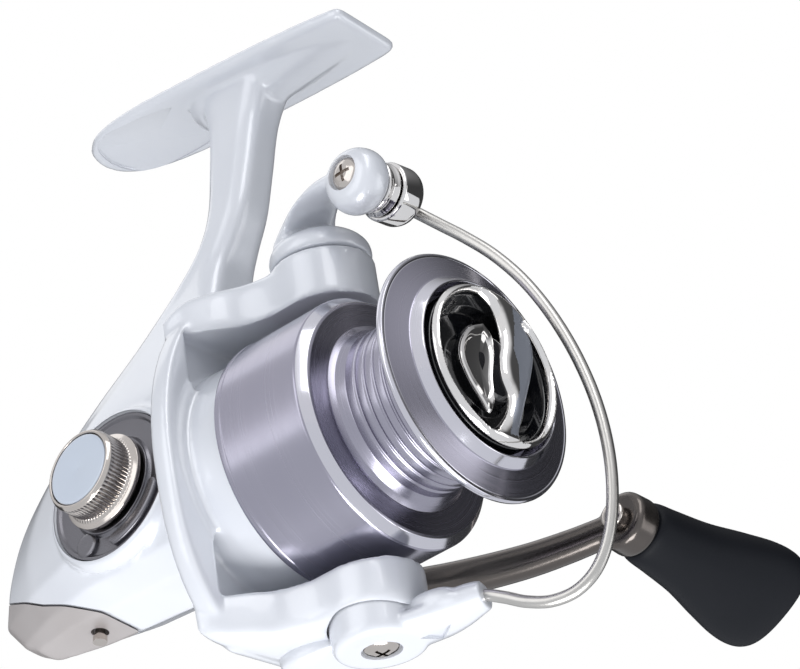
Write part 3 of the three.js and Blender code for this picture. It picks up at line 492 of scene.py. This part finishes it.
plate = shape("sidePlate", turned([
    [-11.4, 4.2], [-11.4, 12.85], [-12.3, 12.85], [-12.3, 12.3], [-11.8, 11.9], [-11.8, 8.9],
    [-12.3, 8.5], [-12.6, 8.4], [-12.6, 4.2],
], "y", (crankX, crankZ), fillet=0.12), crescentRib(), turned(
    [[-11.5, 0], [-11.5, 2.3], [-12.3, 2.2], [-12.5, 1.7], [-12.5, 0]], "y",
    (crankX - 5.6, crankZ - 8.7), 48))
settle(plate, satinNickel, "body", ["side_plate"])


def knurl(angle, along):
    # rounded ridges that fade out at both ends of the grip band
    band = np.clip((along + 18.9) / 0.5, 0, 1) * np.clip((-14.6 - along) / 0.5, 0, 1)
    ridge = np.abs(np.sin(angle * capParts["knurls"] / 2)) ** 0.8
    return capParts["knurlDepth"] * band * (ridge - 1)


capProfile = [
    [-13.2, 0], [-13.2, 7.7], [-13.6, 8.3], [-14.3, 8.3], [-14.6, 7.5], [-15, 7.1], [-16, 7.12], [-17, 7.13],
    [-18, 7.14], [-18.9, 7.14], [-19.6, 6.7], [-19.6, 6.35], [-19.1, 6.25], [-19.1, 0],
]
cap = shape("handleCap", turned(capProfile, "y", (crankX, crankZ), capParts["knurls"] * 8, 0.12, knurl))
settle(cap, nickelPlate, "cap", ["handle_cap"])
disc = shape("capDisc", turned([[-19.15, 0], [-19.15, 6.1], [-19.5, 6.1], [-19.6, 5.7], [-19.6, 0]], "y",
                               (crankX, crankZ), fillet=0.08))
settle(disc, paleInlay, "cap", ["cap_disc"])

# ---- anti-reverse lever ----
leverParts = {"serrations": 5, "lean": -15, "pivotZ": -6.8}  # count, degrees, millimetres


def leverPad():
    # serrated bump on the belly, leaning with the lever
    pads = [prism([[-2.6, -8.2], [2.4, -8.2], [2.1, -13.2], [1.4, -13.9], [-1.8, -13.9], [-2.4, -13.2]],
                  -57.9, -55.1)]
    for i in range(leverParts["serrations"]):
        y = -2 + i * 0.9
        ridge = [[y - 0.3, -13.6], [y + 0.3, -13.6], [y + 0.12, -14.3], [y - 0.12, -14.3]]
        pads.append(prism(ridge, -57.7, -55.3))
    return pads


lever = cast("antiReverseLever", leverPad(), voxel=0.16, rounds=2)
leverTurn = Matrix.Rotation(math.radians(leverParts["lean"]), 4, "X")
leverPivot = Matrix.Translation((0, 0, leverParts["pivotZ"]))
lever.data.transform(leverPivot @ leverTurn @ leverPivot.inverted())
settle(lever, pearlLacquer, "anti_reverse_lever", ["anti_reverse_lever"])
print("small body parts done")

# ---- rotor, in the rotor frame ----
rotorParts = {"baseHalfY": 24.4, "baseHalfS": 33.2, "armOuter": 31.4, "armInner": 21.5, "bossRadius": 8.5}
# half width and outer face of each arm along x, from the base to the pivot
armWidths = {1: [17.5, 17.2, 16.2, 13.4, 10.6, 9.2, 8.6, 8.5],
             -1: [19.4, 19.0, 17.6, 14.4, 11, 9.4, 8.6, 8.5]}
armFaces = {1: [27.4, 28.8, 30.2, 31, 31.3, 31.4, 31.4, 31.4],
            -1: [29.6, 30.6, 31.2, 31.4, 31.4, 31.4, 31.4, 31.4]}


def baseRing(x, inset):
    # rotor outline: oval above, squarer below, flat where the arms' outer faces are
    t = np.linspace(0, 2 * math.pi, 160, endpoint=False)
    c, s = np.cos(t), np.sin(t)
    power = np.where(s > 0, 0.97, 0.74)
    y = np.sign(c) * np.abs(c) ** power * (rotorParts["baseHalfY"] - inset)
    z = np.sign(s) * np.abs(s) ** power * (rotorParts["baseHalfS"] - inset)
    limit = rotorParts["armOuter"] - 0.6 - inset
    return np.column_stack([np.full_like(y, x), y, np.clip(z, -limit, limit)])


def rotorBase():
    stations = [(-47.3, 1.8), (-47.1, 1.0), (-46.6, 0.35), (-45.8, 0), (-43.8, 0), (-43.1, 0.3), (-42.8, 1.0)]
    return skin([baseRing(x, inset) for x, inset in stations])


def rotorArm(side):
    # squared ovals along x with a half-round nose at the pivot; the inner face is a plane
    stations = [-47, -45.5, -43.2, -40, -37, -34, -31, pivotX]
    rows = smoothCurve(np.column_stack([stations, armWidths[side], armFaces[side]]), 60)
    nose = np.linspace(0, math.pi / 2, 24)[1:-1]
    radius, inner = rotorParts["bossRadius"], rotorParts["armInner"]
    tip = np.column_stack([pivotX + radius * np.sin(nose), radius * np.cos(nose),
                           np.full(22, rotorParts["armOuter"])])
    rings = []
    for x, half, outer in np.vstack([rows, tip]):
        centre = side * (outer + inner) / 2
        rings.append(oval([x, 0, centre], [0, half, 0], [0, 0, (outer - inner) / 2], 72, 0.42))
    return skin(rings)


def rotorBoss(side):
    # round seat of a bail arm
    low, high = 23.2 * side, (31.7 if side > 0 else 30) * side
    radius = rotorParts["bossRadius"]
    return turned([[low, 0], [low, radius], [high, radius], [high, 0]], "z", (pivotX, 0), 96, 0.5)


def rotorCup():
    # cup that reaches forward into the spool's skirt
    return turned([[-47, 6], [-47, 20], [-42.8, 22.2], [-41.4, 20.9], [-40, 20.3], [-27.4, 20.3],
                   [-27.4, 18.4], [-38.6, 18.4], [-39.6, 17], [-39.6, 3.7], [-43.6, 3.7], [-43.6, 6]],
                  fillet=0.3)


def armPocket(side):
    # hollow between the cup and the arm's inner face
    y = np.linspace(-17, 17, 31)
    arc = np.column_stack([y, side * np.sqrt(20.45**2 - y**2)])
    return prism(np.vstack([arc, [[17, side * 23.2], [-17, side * 23.2]]]), -45.4, -20)


skirtRoom = turned([[-42.2, 20.35], [0, 20.35], [0, 23.2], [-42.2, 23.2]], fillet=0.05)
rotor = cast("rotorCasting", [
    rotorBase(), rotorArm(1), rotorArm(-1), rotorBoss(1), rotorBoss(-1), rotorCup(),
], [skirtRoom, armPocket(1), armPocket(-1), turned([[-60, 0], [-60, 12], [-43.9, 12], [-43.9, 0]])],
    voxel=0.43, rounds=4)
carve(rotor, turned([[20, 0], [20, 3.9], [30, 3.9], [30, 0]], "z", (pivotX, 0)),
      turned([[-40, 0], [-40, 8.05], [-28.6, 8.05], [-28.6, 0]], "z", (pivotX, 0)),
      turned([[-60, 0], [-60, 1.2], [-29, 1.2], [-29, 0]], "x", (6, 28)))
settle(rotor, pearlLacquer, "rotor", ["rotor"], tilted=True)
print("rotor cast", len(rotor.data.polygons))

armCover = cast("rotorArmCover", [skin([
    oval([x, 0.5, -31.6], [0, half, 0], [0, 0, rise], 40, 0.5)
    for x, half, rise in smoothCurve([[-44.6, 3, 0.4], [-43.6, 5.4, 1.6], [-40, 6.6, 2.4],
                                      [-36.4, 5.8, 2.1], [-33.6, 4, 1.1], [-32.4, 2, 0.3]], 30)
])], voxel=0.25, rounds=3)
settle(armCover, pearlLacquer, "rotor", ["rotor_arm_cover"], tilted=True)

# ---- bail arms ----
bailParts = {"lean": math.radians(20), "wireRadius": 0.98}  # lean of the wire's loop, millimetres


def bailFoot():
    return turned([[31.95, 0], [31.95, 8.35], [34.2, 8.3], [35.6, 7.2], [37, 5], [37.9, 2.4], [37.9, 0]], "z",
                  (pivotX, 0), 96, 0.9)


def bailNeck():
    # twisting neck: broad across the foot, then narrow and deep where it meets the barrel;
    # stations hold the centre, the half width, the half depth and the turn of the section in radians
    stations = smoothCurve([
        [-31, 0.6, 34.8, 7.2, 3.2, 0.0], [-28.2, -0.8, 37.0, 6.4, 3.6, 0.3],
        [-24.6, -3.4, 38.9, 4.9, 3.9, 0.8], [-20, -5.4, 40.2, 3.7, 4.1, 1.2],
        [-15.8, -6.6, 39.9, 3.0, 4.3, 1.4], [-12, -7.1, 39, 2.7, 4.4, 1.5],
    ], 40)
    rings = []
    for x, y, s, across, deep, turn in stations:
        upward = np.array([math.sin(turn), 0, math.cos(turn)])
        direction = np.array([math.cos(turn), 0, -math.sin(turn)])
        rings.append(oval([x, y, s], [0, across, 0], direction * 0.2 + upward * deep, 48, 0.8))
    return skin(rings)


def rollerBarrel():
    return turned([[-10, 0], [-10, 3.2], [-9.4, 4.5], [-8, 5.3], [-6.2, 5.5], [-5, 5.15],
                   [-4.25, 4.6], [-4.25, 0]], "y", (rollerX, rollerS), 96, 1.0)


screwAt = (rollerX - 0.3, rollerS + 0.8)
upperArm = cast("bailArm", [bailFoot(), bailNeck(), rollerBarrel()], voxel=0.28, rounds=8)
carve(upperArm, turned([[-13, 0], [-13, 2.95], [-8.9, 2.95], [-8.9, 0]], "y", screwAt, 64))
settle(upperArm, pearlLacquer, "bail", ["bail_arm"], tilted=True)


def tongue():
    # lower arm from the disc to the socket of the wire
    along = np.array([math.cos(bailParts["lean"]), math.sin(bailParts["lean"]), 0])
    across = np.array([-along[1], along[0], 0])
    stations = smoothCurve([[0, -33.5, 6, 1.7], [4, -33.5, 5.6, 1.8], [8, -33.3, 5.2, 2.0],
                            [11, -32.8, 4.9, 2.4], [14, -32.2, 4.2, 2.5], [16.4, -31.7, 3.4, 2.3],
                            [18, -31.5, 2.8, 2.0]], 40)
    return skin([oval(np.array([pivotX, 0, s]) + along * reach, across * wide, [0, 0, thick], 40, 0.75)
                 for reach, s, wide, thick in stations])


def wireBump():
    # low swelling beside the socket of the wire
    along = np.array([math.cos(bailParts["lean"]), math.sin(bailParts["lean"]), 0])
    centre = np.array([pivotX, 0, -31.4]) + along * 10.6 + np.array([0.6, -2.6, 0])
    rings = [oval(centre + [0, 0, z], [4.6 * r, 1.0 * r, 0], [-0.5 * r, 2.2 * r, 0], 32)
             for z, r in ((-2, 0.8), (-1, 1), (0, 1), (1, 0.9), (1.7, 0.6))]
    return skin(rings)


lowerDisc = turned([[-35.4, 0], [-35.4, 7.1], [-34.5, 7.7], [-28.9, 7.7], [-28.9, 0]], "z",
                   (pivotX, 0), 96, 0.7)
lowerArm = cast("lowerBailArm", [lowerDisc, tongue(), wireBump()], voxel=0.28, rounds=6)
notch = skin([np.array([[-20.8, 2.2, z], [-15.2, 3.2, z], [-19.4, 6.0, z]]) for z in (-40, -34.6)])
carve(lowerArm, turned([[-41, 0], [-41, 3.3], [-34.3, 3.3], [-34.3, 0]], "z", (pivotX, 0), 64), notch)
settle(lowerArm, pearlLacquer, "bail", ["lower_bail_arm"], tilted=True)

# wire in the plane of its loop: [reach from the pivot axis, place along it], smoothed once below
wireRoute = [
    [17.5, 35.9], [20.9, 32.4], [24.5, 29.2], [29, 24.4], [33.2, 18.4], [36.6, 10.9], [39.4, 2.9],
    [41.2, -5.6], [41.8, -13.6], [41.2, -21.1], [39.6, -28.2], [36.7, -33.2], [33, -35.8], [28.3, -36.3],
    [24.1, -34.8], [21.1, -32.8], [18.6, -31.6], [16.6, -31.4],
]
wireReach, wireS = np.array(wireRoute).T
wirePath = np.column_stack([pivotX + wireReach * math.cos(bailParts["lean"]),
                            wireReach * math.sin(bailParts["lean"]), wireS])
wirePath = np.vstack([[rollerX - 1, 4.2, rollerS - 0.4], wirePath])
wirePath[1:-1] = wirePath[:-2] / 4 + wirePath[1:-1] / 2 + wirePath[2:] / 4
wire = shape("bailWire", tube(wirePath, bailParts["wireRadius"], 20, 220))
settle(wire, drawnSteel, "bail", ["bail_wire"], tilted=True)


def phillips(name, profile, axis, at, top, direction):
    # domed head with a cross slot
    head = shape(name, turned(profile, axis, at, 64, 0.25))
    reachIn = top - direction * 0.9
    low, high = min(top + direction, reachIn), max(top + direction, reachIn)
    for long, short in ((1.5, 0.28), (0.28, 1.5)):
        plan = np.array([[-long, -short], [long, -short], [long, short], [-long, short]]) + np.array(at)
        carve(head, prism(plan, low, high, axis))
    return head


rollerScrew = phillips("rollerScrew", [[-10, 0], [-9.95, 1.2], [-9.5, 2.3], [-9.1, 2.74], [-8.5, 2.74],
                                       [-8.5, 0]], "y", screwAt, -10, -1)
settle(rollerScrew, nickelPlate, "bail", ["roller_screw"], tilted=True)
pivotScrew = phillips("lowerPivotScrew", [[-36, 0], [-35.95, 1.2], [-35.5, 2.3], [-35.1, 2.9], [-34.3, 2.9],
                                          [-34.3, 0]], "z", (pivotX, 0), -36, -1)
settle(pivotScrew, nickelPlate, "rotor", ["lower_pivot_screw"], tilted=True)
drum = shape("bailCone", turned([[-0.9, 0], [-0.9, 4.6], [-0.6, 4.9], [2.9, 4.9], [3.9, 4.5], [4.5, 3.4],
                                 [4.8, 1.6], [4.9, 0]], "y", (rollerX, rollerS), 96, 0.35))
settle(drum, chromePlate, "bail", ["bail_cone"], tilted=True)
roller = shape("lineRoller", turned([
    [-3.9, 2.4], [-3.9, 4.3], [-3.6, 4.5], [-3.2, 4.3], [-2.55, 4.1], [-1.9, 4.3], [-1.5, 4.5], [-1.2, 4.3],
    [-1.2, 2.4],
], "y", (rollerX, rollerS), 96, 0.1))
settle(roller, chromePlate, "line_roller", ["line_roller"], tilted=True)
print("bail done")

# ---- spool ----
spoolParts = {"grooves": [-12.3, -10.4, -8.5, -6.6, -4.7], "grooveDepth": 0.22, "arborRadius": 14.1}


def spoolProfile():
    # skirt, arbor with its grooves, lip, well of the knob, hub and inside of the skirt, [x, radius]
    arbor = []
    top = spoolParts["arborRadius"]
    floor = top - spoolParts["grooveDepth"]
    for x in spoolParts["grooves"]:
        arbor += [[x - 0.35, top], [x - 0.12, floor], [x + 0.12, floor], [x + 0.35, top]]
    return [
        [-35.4, 21.0], [-35.4, 21.5], [-35.1, 21.6], [-34.2, 21.6], [-34.1, 21.5], [-18.2, 21.5],
        [-17.9, 21.35], [-16.5, 20.1], [-16.3, 19.6], [-16.3, 15.8], [-15.6, 14.9], [-14.2, top], *arbor,
        [-3.2, top], [-2.2, 14.8], [-1.7, 16.4], [-1.4, 20.2], [-1.0, 20.85], [-0.4, 21], [0.05, 20.8],
        [0.12, 20.4], [0.02, 20.25], [0.1, 20.1], [0.25, 19.7], [1.55, 16.3], [1.8, 16.1], [3.2, 15.05],
        [3.3, 14.85], [3.1, 14.6], [-1.6, 14.4], [-1.6, 12.9], [-9, 12.8], [-9, 2.4], [-19.9, 2.4],
        [-19.9, 5.6], [-10.6, 6.4], [-10.6, 12.4], [-18.2, 13], [-18.2, 20.5],
    ]


def faceCentres(obj):
    centres = np.empty(len(obj.data.polygons) * 3)
    obj.data.polygons.foreach_get("center", centres)
    return centres.reshape(-1, 3).T


spool = shape("spool", turned(spoolProfile(), segments=256, fillet=0.12))
x, y, z = faceCentres(spool)
radius = np.hypot(y, z)
# polished: the rim of the well, the bevel of the skirt and the edge of the lip
bright = (x > 1.7) & (radius > 14.5)
bright |= (x > -17.9) & (x < -16.45) & (radius > 20)
bright |= (x > -0.9) & (radius > 20.1)
settle(spool, [turnedAnodising, polishedLip], "spool", ["spool"], sharp=24)
spool.data.polygons.foreach_set("material_index", bright.astype(np.int32))

# ---- drag knob ----
insert = shape("knobInsert", turned([
    [-2.2, 2.7], [-2.2, 11.6], [-1.2, 12.2], [-1.2, 13.4], [3.0, 13.5], [3.2, 13.2], [3.2, 12.5], [1.4, 11.6],
    [0.2, 10.6], [0, 7], [1, 6.2], [3.6, 5.8], [4.2, 5], [4.3, 2.4], [4.3, 0], [3.95, 0], [3.95, 4.5],
    [-1.2, 4.5], [-1.2, 2.7],
], fillet=0.25))
settle(insert, blackMoulding, "drag_knob", ["knob_insert"])
# outlines on the knob's face, [y, z]: two windows either side of a comma-shaped bar
leftWindow = [
    [-3.2, 12.1], [-0.4, 10.8], [1.0, 8.1], [1.5, 5], [0.9, 1.4], [1.3, -1.7], [2.5, -3.8], [2.6, -6],
    [1.4, -9], [-1.2, -12.1], [-4.6, -11.5], [-7.8, -9.6], [-10.8, -6.5], [-12.2, -2.6], [-12.4, 1.8],
    [-11.2, 5.7], [-8.6, 9], [-5.6, 11.2],
]
rightWindow = [
    [6.2, 10.2], [8, 8.2], [8.6, 5], [7.9, 1], [6.5, -3.8], [5.1, -8.6], [4.5, -11.4], [6.4, -10.8],
    [9, -8.7], [11, -5.4], [12.1, -0.3], [11.8, 4.3], [10, 7.6], [8, 9.7],
]
# left edge of the satin top of the bar, [z, y]
satinEdge = [[-12, 1.6], [-8.8, 2.6], [-3.3, 4.1], [1.5, 4.2], [4.1, 3.2], [9.1, 3.6], [12.1, 3.2]]
knobParts = {"crown": 1.15, "edge": 1.5, "radius": 13.85}


def edgeDistance(points, outline):
    # smallest distance from each point to the closed outline
    a = np.asarray(outline)
    b = np.roll(a, -1, 0)
    along = b - a
    t = ((points[:, None] - a) * along).sum(2) / (along**2).sum(1)
    nearest = a + np.clip(t, 0, 1)[..., None] * along
    return np.linalg.norm(points[:, None] - nearest, axis=2).min(1)


def closedCurve(points, count):
    # smooth curve through the points and back to the first
    return smoothCurve([*points, points[0]], count + 1)[:-1]


def teardrop():
    # bright loop over the hub, in the wider window
    outline = closedCurve([[-2.9, 6.6], [-6.1, 4.4], [-8, 1.2], [-8.2, -2.2], [-6.4, -5.4], [-3.8, -7.9],
                           [-1.8, -9.6], [-0.9, -7], [-1.1, -3.4], [-0.6, 1.6], [-1, 5]], 96)
    middle = outline.mean(0)
    steps = ((4.0, 1.0), (4.3, 1.0), (4.75, 0.95), (4.9, 0.86), (4.7, 0.76), (4.4, 0.7), (4.25, 0.3))
    return skin([np.column_stack([np.full(96, level), middle + (outline - middle) * size])
                 for level, size in steps])


knob = cast("knobShell", [turned([[4.0, 0], [4.0, 12], [3.7, 12.3], [3.7, 13.6], [4.1, 13.85], [5.4, 13.85],
                                     [5.4, 0]], fillet=0.1)],
            [prism(closedCurve(leftWindow, 120), 2, 7), prism(closedCurve(rightWindow, 120), 2, 7)], 0.17, 3)
# the front face falls away towards every edge as a parabola: crown times (1 - distance / edge) squared
place = np.empty(len(knob.data.vertices) * 3)
knob.data.vertices.foreach_get("co", place)
place = place.reshape(-1, 3)
distance = np.minimum(edgeDistance(place[:, 1:], closedCurve(leftWindow, 60)),
                      edgeDistance(place[:, 1:], closedCurve(rightWindow, 60)))
distance = np.minimum(distance, np.abs(knobParts["radius"] - np.hypot(place[:, 1], place[:, 2])))
drop = knobParts["crown"] * (1 - np.minimum(distance / knobParts["edge"], 1)) ** 2
place[:, 0] -= drop * np.clip((place[:, 0] - 4.2) / 0.9, 0, 1)
knob.data.vertices.foreach_set("co", place.ravel())
soften(knob, 3)
x, y, z = faceCentres(knob)
satin = (x > 4.9) & (np.hypot(y, z) < 12.4) & (y > np.interp(z, *np.array(satinEdge).T)) & (y < 9)
loop = shape("knobLoop", teardrop())
settle(loop, chromePlate, "drag_knob", None)
settle(knob, [chromePlate, satinPlate], "drag_knob", ["knob_shell"])
knob.data.polygons.foreach_set("material_index", satin.astype(np.int32))
print("spool and knob done")

# ---- crank handle ----
handleParts = {"armHalf": 3, "armTaper": 0.8, "gripRoll": 30}  # millimetres, millimetres, degrees
armPath = smoothCurve([[-68.4, 39.6, 6.3], [-60, 42.2, 5.7], [-48, 46.1, 4.5], [-36, 49.6, 3.9],
                       [-27, 51.9, 4.1], [-20, 53.6, 4.7], [-16.7, 54.4, 4.9]], 60)
armRings = []
for t, place in zip(np.linspace(0, 1, 60), armPath):
    half = handleParts["armHalf"] - handleParts["armTaper"] * t
    armRings.append(oval(place, [-half * 0.28, half * 0.96, 0], [0, 0, half * 1.12], 40, 0.9))
arm = cast("handleArm", [
    skin(armRings),
    turned([[36.7, 0], [36.7, 4.2], [37.5, 4.9], [41.4, 4.9], [42.6, 3.8], [42.6, 0]], "y",
           (crankX, crankZ), 64, 0.6),
    turned([[52, 0], [52, 4.2], [52.7, 5], [56.4, 5.15], [57.1, 4.6], [57.1, 0]], "y",
           (spindleX, spindleZ), 64, 0.3),
], voxel=0.3, rounds=4)
settle(arm, gunmetal, "crank", ["handle_arm"])
shank = shape("handleShank", turned([
    [11.7, 0], [11.7, 3.2], [23.6, 3.2], [24.2, 3.5], [26, 3.9], [30, 3.9], [30.3, 3.7], [30.8, 3.7],
    [31.1, 3.9], [35.6, 3.9], [36.4, 3.3], [36.4, 0]], "y", (crankX, crankZ), 96, 0.3))
settle(shank, gunmetal, "crank", ["handle_shank"])
rivet = shape("gripSpindle", turned([[50, 0], [50, 1.6], [50.4, 2.3], [51.1, 2.3], [51.1, 1.6], [83.5, 1.6],
                                     [83.5, 0]], "y", (spindleX, spindleZ), 64, 0.25))
settle(rivet, nickelPlate, "crank", ["grip_spindle"])


def gripSkin():
    # paddle: flattened ovals that widen to the far end, rolled about the spindle
    roll = math.radians(handleParts["gripRoll"])
    wide = np.array([-math.cos(roll), 0, -math.sin(roll)])
    thick = np.array([-math.sin(roll), 0, math.cos(roll)])
    stations = smoothCurve([[57.4, 4.0, 3.5], [57.7, 4.8, 4.2], [59, 5.3, 4.7], [63, 5.7, 5], [70, 6.6, 5.15],
                            [77, 8.2, 5.2], [83.5, 9.5, 5.05], [88, 9.6, 4.5], [90.8, 8.6, 3.7],
                            [92.2, 6.6, 2.6], [92.75, 3.4, 1.2]], 90)
    return skin([oval([spindleX, y, spindleZ], wide * a, thick * b, 72, 0.86) for y, a, b in stations])


grip = shape("grip", gripSkin())
carve(grip, turned([[50, 0], [50, 1.9], [84, 1.9], [84, 0]], "y", (spindleX, spindleZ), 48))
settle(grip, softTouch, "grip", ["grip"])
print("handle done")

# ---- carried-over nodes ----
slotFinish = {
    "pearl_paint": pearlLacquer, "champagne_paint": champagneLacquer, "anodised_aluminium": turnedAnodising,
    "nickel_plate": nickelPlate, "steel": groundSteel, "brass": machinedBrass, "zinc_casting": castZinc,
    "gunmetal_paint": gunmetal, "black_plastic": blackMoulding, "soft_black": softTouch, "felt": pressedFelt,
    "pale_disc": paleInlay,
}
for part in frame["record"]["subparts"]:
    node = frame["nodes"][part["node"]]
    node.data.materials.clear()
    node.data.materials.append(slotFinish[part["material_slot"]])
print("carried-over nodes painted")

# ---- studio ----
# matt white floor, faintly lit of its own so it stays pale under soft light
floorMaterial = surface("studioFloor", "#F4F4F4", "#F0F0F0", (0.7, 0.8), grain=8,
                        sockets={"Emission Color": (1, 1, 1, 1), "Emission Strength": 0.4})
floorHalf, floorLevel = 30.0, -2.2  # metres; the floor lies well below the reel
floorMesh = bpy.data.meshes.new("studioFloor")
floorCorners = [(-1, -1), (1, -1), (1, 1), (-1, 1)]
floorVerts = [(a * floorHalf, b * floorHalf, floorLevel) for a, b in floorCorners]
floorMesh.from_pydata(floorVerts, [], [(0, 1, 2, 3)])
floor = bpy.data.objects.new("studioFloor", floorMesh)
bpy.context.scene.collection.objects.link(floor)
floorMesh.materials.append(floorMaterial)

# long lens at the viewing angle: the camera's own axes and its place in the row frame
cameraRight = np.array([0.7212047, 0.6922765, -0.0248394])
cameraUp = np.array([0.4076515, -0.3951486, 0.8232119])
cameraBack = np.array([0.5600751, -0.6038301, -0.5671906])
cameraPlace = np.array([0.4775278, -0.4748999, -0.5143649])
cameraData = bpy.data.cameras.new("camera")
cameraData.lens = 225
cameraData.sensor_width = 36
cameraData.clip_end = 100
camera = bpy.data.objects.new("camera", cameraData)
bpy.context.scene.collection.objects.link(camera)
pose = np.eye(4)
pose[:3, 0], pose[:3, 1], pose[:3, 2], pose[:3, 3] = cameraRight, cameraUp, cameraBack, cameraPlace
camera.matrix_world = Matrix(pose.tolist())
bpy.context.scene.camera = camera
reelMiddle = np.array([0.008, 0.03, -0.062])


def softbox(name, right, up, back, width, tall, power):
    # lamp placed by its direction from the reel in the camera's own axes, facing the reel
    away = cameraRight * right + cameraUp * up + cameraBack * back
    place = reelMiddle + away
    toward = -away / np.linalg.norm(away)
    data = bpy.data.lights.new(name, "AREA")
    data.shape = "RECTANGLE"
    data.size, data.size_y, data.energy = width, tall, power
    lamp = bpy.data.objects.new(name, data)
    bpy.context.scene.collection.objects.link(lamp)
    z = -toward
    x = np.cross(cameraUp if abs(z @ cameraUp) < 0.9 else cameraRight, z)
    x /= np.linalg.norm(x)
    turn = np.eye(4)
    turn[:3, 0], turn[:3, 1], turn[:3, 2], turn[:3, 3] = x, np.cross(z, x), z, place
    lamp.matrix_world = Matrix(turn.tolist())


softbox("keyLeft", -0.75, 0.4, 0.45, 0.6, 0.9, 1.8)
softbox("fillRight", 0.95, 0.05, 0.3, 0.3, 0.8, 1.0)
softbox("topStrip", 0.1, 0.95, 0.25, 0.9, 0.35, 2.4)
softbox("rimBack", -0.5, 0.5, -0.8, 0.7, 0.7, 1.0)
softbox("underGlow", 0.1, -0.8, 0.75, 0.9, 0.6, 12.0)

# three skies: a white backdrop for the camera, a steep one for mirrors and a soft one for the rest,
# the last two brighter towards the upper left
world = bpy.data.worlds.new("studio")
bpy.context.scene.world = world
world.use_nodes = True
tree = world.node_tree
tree.nodes.clear()
direction = addNode(tree, "ShaderNodeTexCoord").outputs["Generated"]
upLeft = tuple(float(v) for v in cameraUp * 0.75 - cameraRight * 0.55 + cameraBack * 0.36)
climb = addNode(tree, "ShaderNodeVectorMath", {0: direction, 1: upLeft},
                operation="DOT_PRODUCT").outputs["Value"]
grey = addNode(tree, "ShaderNodeMapRange", {0: climb, 1: -0.8, 2: 0.8, 3: 0.36, 4: 0.66}).outputs[0]
studioLight = addNode(tree, "ShaderNodeBackground", {0: linear("#E9EEF6"), 1: grey}).outputs[0]
backdrop = addNode(tree, "ShaderNodeBackground", {0: (1, 1, 1, 1), 1: 1.0}).outputs[0]
seen = addNode(tree, "ShaderNodeLightPath").outputs["Is Camera Ray"]
mirrored = addNode(tree, "ShaderNodeMapRange", {0: climb, 1: -0.35, 2: 0.6, 3: 0.06, 4: 1.0},
                   interpolation_type="SMOOTHSTEP").outputs[0]
mirrorLight = addNode(tree, "ShaderNodeBackground", {0: linear("#F0F1F4"), 1: mirrored}).outputs[0]
glossy = addNode(tree, "ShaderNodeLightPath").outputs["Is Glossy Ray"]
lighting = addNode(tree, "ShaderNodeMixShader", {0: glossy, 1: studioLight, 2: mirrorLight}).outputs[0]
mixed = addNode(tree, "ShaderNodeMixShader", {0: seen, 1: lighting, 2: backdrop}).outputs[0]
addNode(tree, "ShaderNodeOutputWorld", {0: mixed})
bpy.context.scene.view_settings.view_transform = "Standard"
